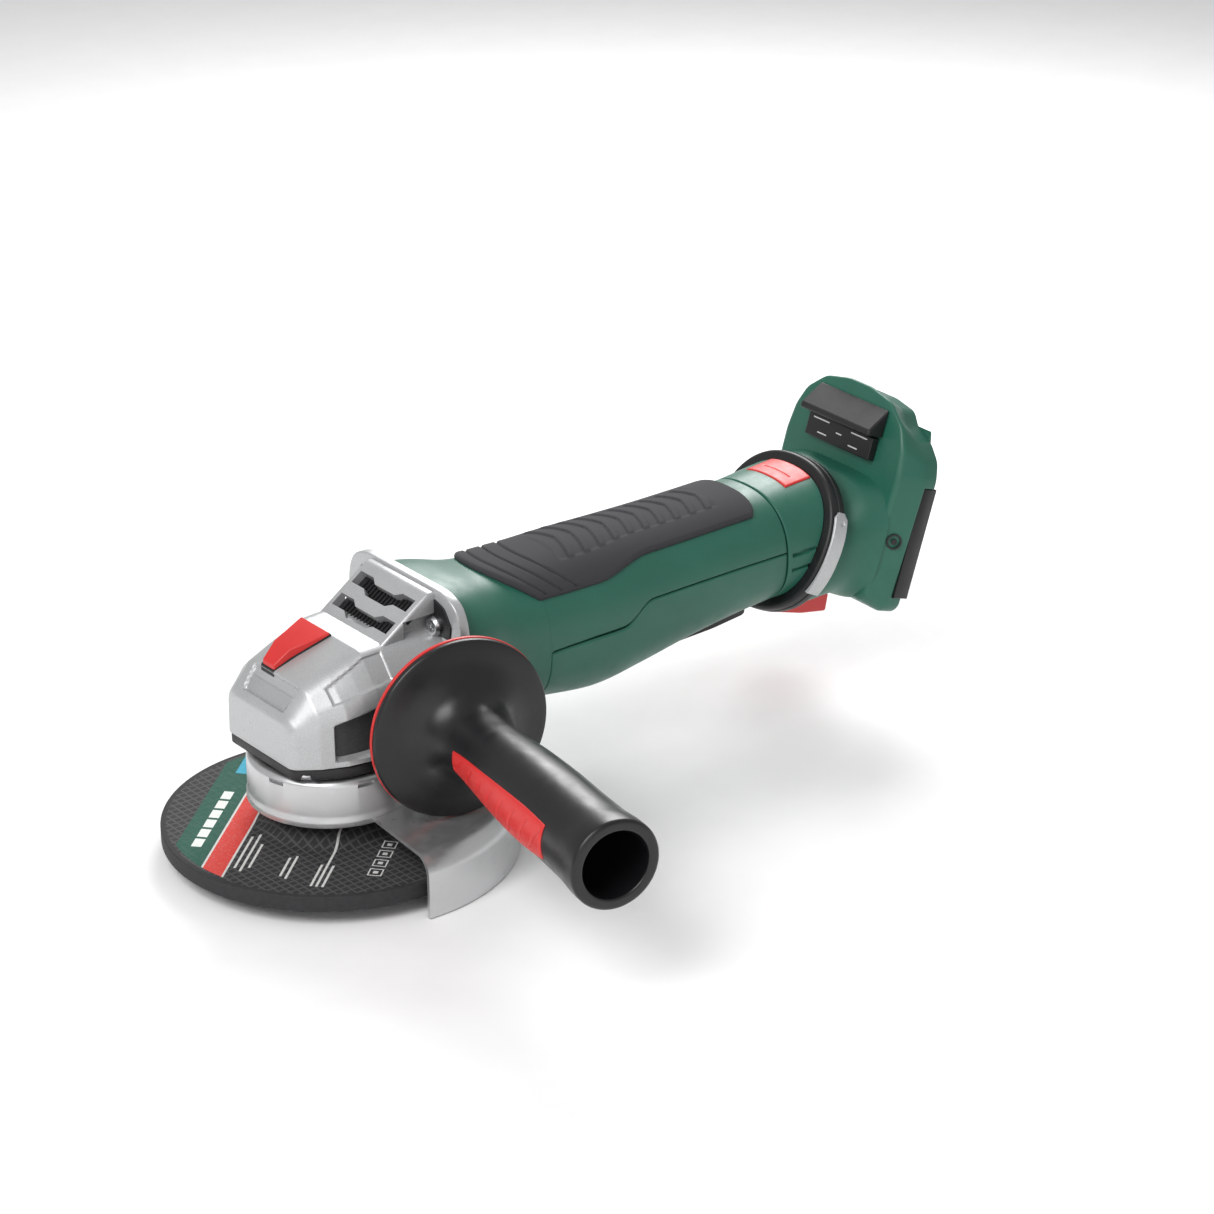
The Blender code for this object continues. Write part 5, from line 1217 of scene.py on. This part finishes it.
    def lower(self) -> None:
        """The lower shell, with the long opening that the paddle moves in."""
        x = self.rows(self.split + 0.3, self.seam, 90)
        angle = self.split_angle(x) - 0.006
        shell = self.shell_of("lower_shell_fine", x, math.pi - angle, TURN + angle, 150)
        opening = round_corners(np.array([(108.5, -11.5), (187.2, -11.5), (187.2, 11.5), (108.5, 11.5)]), 3.0, 6)
        cut_away(shell, [bar("opening", opening, 20.0, 52.0)])
        ears = []
        for side in (-1, 1):
            aim = Matrix.Translation((116.0, side * 11.7, 43.5)) @ Matrix.Rotation(-side * math.pi / 2, 4, "X")
            ears.append(lathe("ear", np.array([(2.3, 0), (4.5, 0), (4.5, 5.2), (2.3, 5.2)]), 48, 0.3, where=aim))
        self.put(joined("lower_shell_solid", [shell, *ears]), GREEN, Body.HOUSING, "lower_shell")

    def grip(self) -> None:
        """The soft pad: a patch of the body's surface raised by 2 mm, with a bowed front and a waved lower edge.

        s runs along the pad and t across it, from -1 to 1. Its height falls to nothing over 2.5 mm at the rim,
        as the quarter circle sqrt(1 - (1 - d)^2). Grooves cross its front, and low ribs fill its middle.
        """
        s = np.concatenate([[0, 0.001, 0.003, 0.006, 0.01, 0.015], np.linspace(0.021, 0.979, 230),
                            [0.985, 0.99, 0.994, 0.997, 0.999, 1.0]])[:, None]
        t = np.sin(np.linspace(-1, 1, 161) * math.pi / 2)[None] * 0.35 + np.linspace(-1, 1, 161)[None] * 0.65
        front = 62.3 + 16.0 * np.abs(t) ** 1.7
        rear = 186.5 - 4.0 * np.abs(t) ** 4
        x = front + (rear - front) * s
        low = np.radians(37.0) + np.radians(11.5) * step(106.0, 132.0, x) + 0.0 * t
        angle = math.pi / 2 - t * (math.pi / 2 - low)
        rim = np.minimum((x - front) + 0.02, (rear - x) + 0.02)
        side = (1 - np.abs(t)) * (math.pi / 2 - low) * 27.0
        d = np.clip(np.minimum(rim, side) / 2.2, 0, 1)
        height = 0.15 + 1.85 * np.sqrt(np.clip(1 - (1 - d) ** 2, 0, 1))
        for shift in (6.0, 13.0, 20.0):
            height -= 0.7 * band(x - 14.4 * np.abs(t) ** 1.7, 62.0 + shift, 0.5, 0.9) * (d > 0.6)
        wave = np.cos((x - 96.0) * TURN / 7.5 + 2.2 * np.abs(t) * 3.0)
        field = band(x, 133.0, 38.0, 3.0) * (1 - step(0.42, 0.5, np.abs(t)))
        height += 0.65 * field * step(0.0, 0.55, wave) - 0.35 * field
        outer = self.surface(x, angle, height)
        inner = self.surface(x, angle, -0.6)
        pad = skin("soft_grip_fine", np.concatenate([outer, inner[:, ::-1]], axis=1), sharp=40.0)
        self.put(pad, RUBBER, Body.HOUSING, "soft_grip")


@dataclass
class Switch(Assembly):
    """The paddle under the body, and its lock-off lever."""

    x: float = 116.0

    def build(self) -> None:
        """Makes the paddle and the lever from their side views."""
        outline = round_corners(np.array([
            (self.x - 6, 47.0), (self.x - 6, 37.0), (self.x - 1, 34.6), (141, 38.8), (170, 39.6), (186, 41.2),
            (186, 47.0),
        ]), 2.0, 5)
        paddle = bar("paddle_fine", outline, -10.8, 10.8, edge=1.0, along="Y")
        slot = np.array([(149, -4.3), (166, -4.3), (166, 4.3), (149, 4.3)])
        cut_away(paddle, [bar("slot", round_corners(slot, 1.5, 4), 30.0, 60.0)])
        self.put(paddle, BLACK, Body.PADDLE, "paddle")
        x = 154.0
        lever = round_corners(np.array([(x - 3.8, 42.0), (x + 1, 37.6), (x + 4.5, 35.6), (x + 7.5, 36.4),
                                        (x + 6.5, 41.0), (x + 4.5, 50.0), (x + 1.5, 50.0)]), 1.4, 5)
        self.put(bar("lock_off_fine", lever, -3.9, 3.9, edge=0.5, along="Y"), BLACK, Body.LOCK_OFF, "lock_off_lever")


@dataclass
class RearNeck(Assembly):
    """The neck behind the round seam, the leaning intake ring, and the small pieces on them."""

    half_y: float = 32.5
    half_z: float = 31.0
    thick: float = 8.0
    square: float = 2.2

    def build(self) -> None:
        """Makes the neck, ring, bright plate, lens and catch."""
        self.neck()
        self.ring()
        self.bright_plate()
        self.lens()
        outline = np.array([(202.5, 40.2), (229.0, 37.6), (227.5, 30.5), (215.0, 33.0), (201.8, 37.2)])
        catch = bar("ring_catch_fine", round_corners(outline, 1.0, 4), -10.0, 10.0, edge=0.7, along="Y")
        self.put(catch, RED, Body.CATCH, "ring_catch")

    def surface(self, share: Array, angle: Array, proud: float | Array = 0.0) -> Array:
        """Points of the neck: a straight blend from the upright round seam to the leaning ring's front face."""
        one = np.ones_like(share)
        y0, z0 = superellipse((25.8 + proud) * one, (22.8 + proud) * one, 2.4 * one, angle)
        y1, z1 = superellipse((28.0 + proud) * one, (26.5 + proud) * one, 2.3 * one, angle)
        first = np.stack([194.5 + 0 * y0, y0, 67.0 + z0], axis=-1)
        last = placed(np.stack([-4.3 + 0 * y1, y1, z1], axis=-1), RING_FRAME)
        eased = (share**0.9)[..., None]
        return first * (1 - eased) + last * eased

    def neck(self) -> None:
        """The neck's wall, with two slits pressed into each side and a rounded front edge."""
        share = np.concatenate([[0, 0.004, 0.01, 0.02, 0.03], np.linspace(0.045, 1.0, 70)])[:, None]
        angle = np.linspace(0, TURN, 480, endpoint=False)[None]
        share, angle = np.broadcast_arrays(share, angle)
        outer = self.surface(share, angle)
        middle = np.stack([outer[..., 0], 0 * share, np.full(share.shape, 67.0)], axis=2)
        normal = outward(outer, middle)
        x, y, z = outer[..., 0], outer[..., 1], outer[..., 2]
        rise = 0.12 * (x - 196)
        slit = band(z, 68.0 + rise, 0.65, 0.5) + band(z, 61.8 + rise, 0.65, 0.5)
        slit *= band(x, 201.7, 5.0, 0.8) * (np.abs(y) > 20)
        front = 0.6 * (1 - np.sqrt(np.clip(1 - (1 - np.clip((x - 194.5) / 0.6, 0, 1)) ** 2, 0, 1)))
        sunk = outer - normal * (1.3 * slit + front)[..., None]
        inner = outer - normal * 2.4
        body = skin("rear_housing_fine", np.concatenate([sunk, inner[::-1]], axis=0), wrap_rows=True, sharp=45.0)
        self.put(body, GREEN, Body.HOUSING, "rear_housing")

    def ring_point(self, turn: Array, a: Array, proud: Array) -> Array:
        """Points on the intake ring's outside, at an angle round it and a depth a through it."""
        one = np.ones_like(turn)
        y, z = superellipse((self.half_y + proud) * one, (self.half_z + proud) * one, self.square * one, turn)
        return placed(np.stack([a + 0 * y, y, z], axis=-1), RING_FRAME)

    def ring(self) -> None:
        """The black ring: a rounded section carried round the leaning superellipse, with a shallow groove."""
        half = self.thick / 2
        corners = np.array([(-half, -8.0), (-half, -0.2), (-0.5, 0.0), (0.0, -0.7), (0.5, 0.0), (half, -0.2),
                            (half, -8.0)])
        section = round_corners(corners, np.array([0.3, 2.2, 0.3, 0.5, 0.3, 2.2, 0.3]), 7)
        turn = np.linspace(0, TURN, 240, endpoint=False)[:, None]
        grid = self.ring_point(turn, section[:, 0][None], section[:, 1][None])
        self.put(skin("intake_ring_fine", grid, wrap_rows=True), BLACK, Body.HOUSING, "intake_ring")

    def bright_plate(self) -> None:
        """The bright plate, a strip bent round the ring's near side, with a cut-off top, a hole and two dimples."""
        turn = np.radians(np.linspace(150.0, 208.0, 121))[:, None]
        across = np.linspace(-1, 1, 25)[None]
        taper = 3.5 - 1.6 * (1 - step(math.radians(150.0), math.radians(154.5), turn))
        a = across * taper + 0.4
        edge = 1 - np.abs(across) ** 14
        proud = 0.35 + 0.75 * np.sqrt(np.clip(edge, 0, 1)) + 0 * turn
        run = (turn - math.radians(157.5)) * 31.0
        hole = np.hypot(run, a - 0.9)
        proud = proud - 0.6 * (1 - step(0.9, 1.2, hole))
        outer = self.ring_point(turn + 0 * across, a, proud)
        inner = self.ring_point(turn + 0 * across, a, 0.2 + 0 * proud)
        plate = skin("ring_plate_fine", np.concatenate([outer, inner[:, ::-1]], axis=1))
        self.put(plate, SILVER, Body.HOUSING, "ring_plate")

    def lens(self) -> None:
        """The red lens: a patch of the neck's top, raised by 0.5 mm, with a pillowed edge and two shallow bars."""
        share = np.linspace(0.40, 0.985, 90)[:, None]
        angle = np.radians(np.linspace(68.5, 111.5, 90))[None]
        share, angle = np.broadcast_arrays(share, angle)
        side = np.minimum(np.degrees(angle) - 68.5, 111.5 - np.degrees(angle)) / 2.5
        end = np.minimum(share - 0.40, 0.985 - share) / 0.05
        d = np.clip(np.minimum(side, end), 0, 1)
        proud = 0.1 + 0.5 * np.sqrt(np.clip(1 - (1 - d) ** 2, 0, 1))
        proud = proud - 0.3 * band(share, 0.62, 0.02, 0.03) * band(np.degrees(angle), 90, 13, 1.0)
        outer = self.surface(share, angle, proud)
        inner = self.surface(share, angle, -0.8)
        lens = skin("status_lens_fine", np.concatenate([outer, inner[:, ::-1]], axis=1))
        self.put(lens, RED, Body.HOUSING, "status_lens")


@dataclass
class BatteryFoot(Assembly):
    """The green foot that a battery slides on, with its rails, contacts, cover and panel."""

    thick: float = 17.0
    half: float = 38.0
    low: float = -35.0
    high: float = 44.0
    rail_high: float = 20.0

    def build(self) -> None:
        """Makes each piece of the foot."""
        self.slab_and_neck()
        self.rails()
        self.cover()
        self.dress(GREY, "contact_block")
        self.dress(BRASS, "contact_blade_1", "contact_blade_2", "contact_blade_3")

    def outlines(self) -> tuple[Array, Array]:
        """The front and rear outlines from behind, counter-clockwise, as (y, height along the plate)."""
        half, low, high = self.half, self.low, self.high
        rear = np.array([(half - 5, low), (half - 2, low + 3), (half, self.rail_high), (half - 2, high - 17),
                         (half - 8, high - 11), (half - 17, high - 7), (half - 21, high - 2), (6, high)])
        half, low, high = half - 5.0, low + 3.5, high + 4.0
        front = np.array([(half - 4, low), (half - 1, low + 2.5), (half, self.rail_high - 0.5),
                          (half - 1.5, high - 18), (half - 5, high - 10), (half - 9.5, high - 6),
                          (half - 14, high - 2.7), (6, high)])
        return tuple(round_corners(np.vstack([side, side[::-1] * (-1, 1)]), 2.2, 6) for side in (front, rear))

    def slab_rings(self) -> Array:
        """Rings from front to rear: the outline widens over 10 mm, and both rims are rounded.

        A rim of radius r is drawn in by r(1 - sin t) at a depth of r(1 - cos t).
        """
        front, rear = self.outlines()
        t = np.linspace(0, math.pi / 2, 7)
        rows = [(-self.thick + 1.6 * (1 - math.cos(v)), 1.6 * (1 - math.sin(v))) for v in t]
        rows += [(a, 0.0) for a in np.linspace(-self.thick + 2.5, -self.thick + 10.0, 8)]
        rows += [(-0.2 - 1.0 * (1 - math.cos(v)), 1.0 * (1 - math.sin(v))) for v in t[::-1]]
        rings = []
        for a, inset in rows:
            share = min(1.0, (a + self.thick) / 10.0)
            ring = drawn_in(front * (1 - share) + rear * share, inset)
            rings.append(np.column_stack([ring, np.full(len(ring), a)]))
        return np.array(rings)

    def slab_and_neck(self) -> None:
        """The slab with the battery's channel cut in, the neck that flares into it, and the hood."""
        turned = ACROSS
        body = skin("foot_slab", placed(self.slab_rings(), FOOT_FRAME @ turned))
        channel = np.array([(-27.3, -47.0), (27.3, -47.0), (27.3, 17.0), (-27.3, 17.0)])
        sides = np.array([(-50.0, -28.3), (50.0, -28.3), (50.0, 16.8), (-50.0, 16.8)])
        cut_away(body, [bar("channel", channel, -8.0, 10.0, FOOT_FRAME @ turned),
                        bar("sides", sides, -6.0, 10.0, FOOT_FRAME @ turned)])
        pieces = [body, skin("foot_neck", self.neck(), sharp=60.0)]
        hood = np.array([(-0.8, 19.8), (1.5, 19.8), (1.5, 29.5), (-0.8, 37.5)])
        pieces.append(bar("hood", hood, -28.8, 28.8, FOOT_FRAME, edge=0.6, along="Y"))
        self.put(joined("battery_foot_fine", pieces), GREEN, Body.HOUSING, "battery_foot")
        self.emblem()

    def emblem(self) -> None:
        """A small plain ring and dot, pressed on the sloping side."""
        facet = Vector((-5.0, -10.0, 0.0)).normalized()
        place = FOOT_FRAME @ Matrix.Translation((-12.0, -35.35, -6.0))
        where = place @ facet.to_track_quat("Z", "Y").to_matrix().to_4x4()
        proud, deep = 0.25, -0.6
        rim = np.array([(2.4, proud), (3.1, proud), (3.1, deep), (2.4, deep)])
        disc = np.array([(0, proud), (1.2, proud), (1.2, deep), (0, deep)])
        ring = lathe("emblem_ring", rim, 64, 0.1, where=where)
        dot = lathe("emblem_dot", disc, 48, 0.1, closed=False, where=where)
        self.put(joined("side_emblem", [ring, dot]), DARK_COVER, Body.HOUSING)

    def neck(self) -> Array:
        """Rounded sections from the intake ring to the slab, blended smoothly: rings of a superellipse.

        The first lies on the ring's rear face and the last inside the slab. Between them each coordinate
        follows a smooth curve through four rings.
        """
        angle = np.linspace(0, TURN, 160, endpoint=False)
        back = -self.thick
        y0, z0 = superellipse(27.5, 26.0, 2.3, angle)
        y1, z1 = superellipse(28.5, 24.5, 2.5, angle)
        y2, z2 = superellipse(31.0, 24.0, 2.9, angle)
        y3, z3 = superellipse(34.0, 25.0, 3.8, angle)
        near = RING_FRAME
        rings = np.array([
            placed(np.column_stack([np.full(160, 4.3), y0, z0]), near),
            placed(np.column_stack([np.full(160, 8.5), y1, z1 - 1.0]), near),
            placed(np.column_stack([np.full(160, back - 6.0), y2, z2 - 11.0]), FOOT_FRAME),
            placed(np.column_stack([np.full(160, back + 1.5), y3, z3 - 9.5]), FOOT_FRAME),
        ])
        at = np.linspace(0, 3, 34)
        flat = rings.reshape(4, -1)
        curve = np.stack([smooth_through(at, range(4), flat[:, i]) for i in range(flat.shape[1])], axis=1)
        return curve.reshape(len(at), 160, 3)

    def rails(self) -> None:
        """The black rail plate: one lipped section carried up the foot."""
        inner, edge = 26.7, self.half - 0.6
        wall = inner - 2.2
        lip = wall - 3.5
        right = [(-7.7, inner), (-5.7, inner), (-5.7, edge), (1.5, edge), (1.5, lip), (-0.7, lip), (-0.7, wall),
                 (-5.7, wall)]
        outline = np.array(right + [(a, -y) for a, y in reversed(right)])
        plate = bar("rail_plate_fine", outline, -28.0, 16.5, FOOT_FRAME, edge=0.4)
        hole = np.array([(-12.0, -7.5), (0.0, -7.5), (0.0, 7.5), (-12.0, 7.5)])
        cut_away(plate, [bar("cable_hole", hole, 2.5, 11.5, FOOT_FRAME)])
        self.put(plate, BLACK, Body.HOUSING, "rail_plate")

    def cover(self) -> None:
        """The sloping grey cover, and the black panel in its shade with plain marks."""
        front = -self.thick - 0.3
        outline = np.array([(front, 42.0), (front - 8.3, 33.0), (front - 8.3, 30.8), (front, 30.8)])
        piece = bar("foot_cover_fine", outline, -20.0, 20.0, FOOT_FRAME, edge=0.8, along="Y")
        self.put(piece, DARK_COVER, Body.HOUSING, "foot_cover")
        face = np.array([(front - 3.5, 21.0), (front - 3.5, 30.0), (front, 30.0), (front, 21.0)])
        panel = bar("display_panel_fine", face, -18.5, 18.5, FOOT_FRAME, edge=0.4, along="Y")
        self.put(panel, BLACK, Body.HOUSING, "display_panel")
        marks = []
        near, far, thin = front - 3.6, front - 3.4, 0.25
        for y, w, wide in ((-11.0, 28.6, 4.6), (11.0, 28.6, 4.6), (0.0, 26.0, 1.6), (-9.0, 23.4, 2.6),
                           (9.0, 23.4, 2.6)):
            box = np.array([(near, w - thin), (near, w + thin), (far, w + thin), (far, w - thin)])
            marks.append(bar("mark", box, y - wide, y + wide, FOOT_FRAME, along="Y"))
        self.put(joined("panel_marks", marks), PALE_PRINT, Body.HOUSING)


@dataclass
class SideHandle(Assembly):
    """The side handle: a turned grip with a wide disc, its red ring, its inlay and its stud."""

    long: float = 119.5
    disc: float = 34.0
    hollow: float = 12.4
    end: float = 16.6

    def build(self) -> None:
        """Makes each piece of the handle."""
        profile = np.array([
            (0, 85.5), (self.hollow, 85.5), (self.hollow, self.long), (self.end, self.long),
            (self.end, self.long - 6),
            (15.7, self.long - 14), (15.4, 92), (15.4, 72), (14.6, 52), (13.0, 34), (12.6, 25), (13.6, 16.5),
            (17.0, 10.2), (24.0, 6.2), (self.disc - 2.5, 4.7), (self.disc, 4.0), (self.disc, 2.0),
            (self.disc - 1.3, 2.0), (self.disc - 1.3, 0), (4.3, 0), (4.3, 30), (0, 30),
        ])
        rounding = np.array([
            0.1, 0.8, 1.0, 1.6, 3.0, 5.0, 8.0, 10.0, 10.0, 9.0, 5.0, 5.0, 5.0, 6.0, 3.0, 1.0, 0.3, 0.3, 0.4, 0.3,
            0.3, 0.1,
        ])
        grip = lathe("side_handle_grip_fine", profile, 192, rounding, closed=False, where=HANDLE_FRAME, steps=8)
        self.put(grip, GRIP_RUBBER, Body.HOUSING, "side_handle_grip")
        near, far = self.disc - 1.0, self.disc + 0.2
        rim = np.array([(near, 1.7), (far, 1.7), (far, 0.3), (near, 0.3)])
        ring = lathe("side_handle_ring_fine", rim, 192, 0.35, where=HANDLE_FRAME)
        self.put(ring, RED, Body.HOUSING, "side_handle_ring")
        stud = np.array([(0, 29), (4.0, 29), (4.0, -13), (3.0, -14), (0, -14)])
        self.put(lathe("side_handle_stud_fine", stud, 48, 0.2, closed=False, where=HANDLE_FRAME), STEEL, Body.HOUSING,
                 "side_handle_stud")
        self.inlay()

    def inlay(self) -> None:
        """The red strip: a patch of the grip's surface between two angles, pillowed, with slanted grooves."""
        forward = HANDLE_FRAME.to_3x3().transposed() @ Vector((-1, 0, 0))
        middle = math.atan2(forward.y, forward.x)
        s = np.linspace(0, 1, 160)[:, None]
        t = np.linspace(-1, 1, 60)[None]
        along = 23.0 + 72.0 * s
        radius = smooth_through(along, (20, 27, 34, 48, 70, 84, 95), (13.0, 12.75, 13.1, 14.2, 15.3, 15.45, 15.5))
        above = smooth_through(along, (23, 27, 40, 61, 80, 95), (13, 15, 20, 26, 29, 28))
        below = smooth_through(along, (23, 27, 34, 46, 66, 80, 95), (22, 28, 34, 38, 37, 31, 20))
        rise = HANDLE_FRAME.to_3x3().transposed() @ Vector((0, 0, 1))
        if math.sin(math.atan2(rise.y, rise.x) - middle) < 0:
            above, below = below, above
        half = np.radians(above + below) / 2
        angle = middle + np.radians(above - below) / 2 + t * half
        d = np.clip(np.minimum(np.minimum(s, 1 - s) * 72.0, (1 - np.abs(t)) * half * radius) / 1.2, 0, 1)
        proud = 0.1 + 0.55 * np.sqrt(np.clip(1 - (1 - d) ** 2, 0, 1))
        wave = np.cos((along + 5.0 * t) * TURN / 9.0)
        proud = proud - 0.3 * step(0.82, 0.95, wave) * (np.abs(t) < 0.62) * (d > 0.99)
        outer = np.stack([(radius + proud) * np.cos(angle), (radius + proud) * np.sin(angle), along + 0 * t], axis=2)
        inner = np.stack([(radius - 0.4) * np.cos(angle), (radius - 0.4) * np.sin(angle), along + 0 * t], axis=2)
        grid = placed(np.concatenate([outer, inner[:, ::-1]], axis=1), HANDLE_FRAME)
        self.put(skin("side_handle_inlay_fine", grid), RED, Body.HOUSING, "side_handle_inlay")


@dataclass
class Studio:
    """A plain pale floor, soft lights and the camera."""

    floor: float = -1.2
    eye: tuple[float, float, float] = (-714.2, -1077.4, 685.5)
    azimuth: float = -37.98
    elevation: float = 24.68
    roll: float = -0.34
    lens: float = 118.5

    def build(self) -> None:
        """Makes the floor, the world, the lights and the camera, and keeps the colours as they are lit."""
        bpy.context.scene.view_settings.view_transform = "Standard"
        self.ground()
        self.world()
        self.light("key", (-700, -300, 900), 9.0, 600)
        self.light("rim", (600, 500, 600), 6.5, 450)
        self.light("fill", (-500, -900, 300), 1.2, 700)
        self.camera()

    def ground(self) -> None:
        """A large pale sheet: a grid that is flat under the tool, with a faint paper grain."""
        side = np.linspace(-3000, 3000, 9)
        x, y = np.meshgrid(side, side, indexing="ij")
        grid = np.stack([x, y, np.full_like(x, self.floor)], axis=2)
        sheet = mesh_object("floor", grid, [quads_of(9, 9, False, False)[:, ::-1]])
        pale = Finish("pale_paper", "green_plastic", (0.92, 0.92, 0.92), 0.8, grain=200.0, depth=0.02, mottle=0.01)
        sheet.data.materials.append(pale.material())

    def world(self) -> None:
        """An even pale sky."""
        world = bpy.data.worlds.new("studio")
        bpy.context.scene.world = world
        world.use_nodes = True
        background = world.node_tree.nodes["Background"]
        background.inputs["Color"].default_value = (1.0, 1.0, 1.0, 1.0)
        background.inputs["Strength"].default_value = 0.5

    def light(self, name: str, place: tuple[float, float, float], power: float, size: float) -> None:
        """One square soft light, aimed at the middle of the tool.

        Args:
            name: The light's name.
            place: Where it stands, in millimetres.
            power: Watts.
            size: Side of the square, in millimetres.
        """
        data = bpy.data.lights.new(name, "AREA")
        data.energy = power
        data.size = size * MM
        lamp = bpy.data.objects.new(name, data)
        lamp.location = Vector(place) * MM
        aim = Vector((80, -20, 50)) * MM - lamp.location
        lamp.rotation_euler = aim.to_track_quat("-Z", "Y").to_euler()
        bpy.context.scene.collection.objects.link(lamp)

    def camera(self) -> None:
        """The camera, set by its azimuth, elevation and roll."""
        data = bpy.data.cameras.new("camera")
        data.lens = self.lens
        data.sensor_width = 36.0
        data.clip_end = 20.0
        eye = bpy.data.objects.new("camera", data)
        az, el = math.radians(self.azimuth), math.radians(self.elevation)
        back = Vector((math.sin(az) * math.cos(el), -math.cos(az) * math.cos(el), math.sin(el)))
        right = Vector((math.cos(az), math.sin(az), 0))
        up = back.cross(right)
        turn = Matrix.Rotation(math.radians(self.roll), 3, back)
        right, up = turn @ right, turn @ up
        eye.matrix_world = Matrix.Translation(Vector(self.eye) * MM) @ Matrix((right, up, back)).transposed().to_4x4()
        bpy.context.scene.collection.objects.link(eye)
        bpy.context.scene.camera = eye


def main() -> None:
    """Builds every sub-assembly in order."""
    logging.basicConfig(level=logging.INFO, format="%(message)s")
    Studio().build()
    for part in (WheelSet(), WheelGuard(), GearHead(), SpindleLock(), MotorBody(), Switch(), RearNeck(),
                 BatteryFoot(), SideHandle()):
        part.build()
        LOG.info("%s is done", type(part).__name__)


if __name__ == "__main__":
    main()
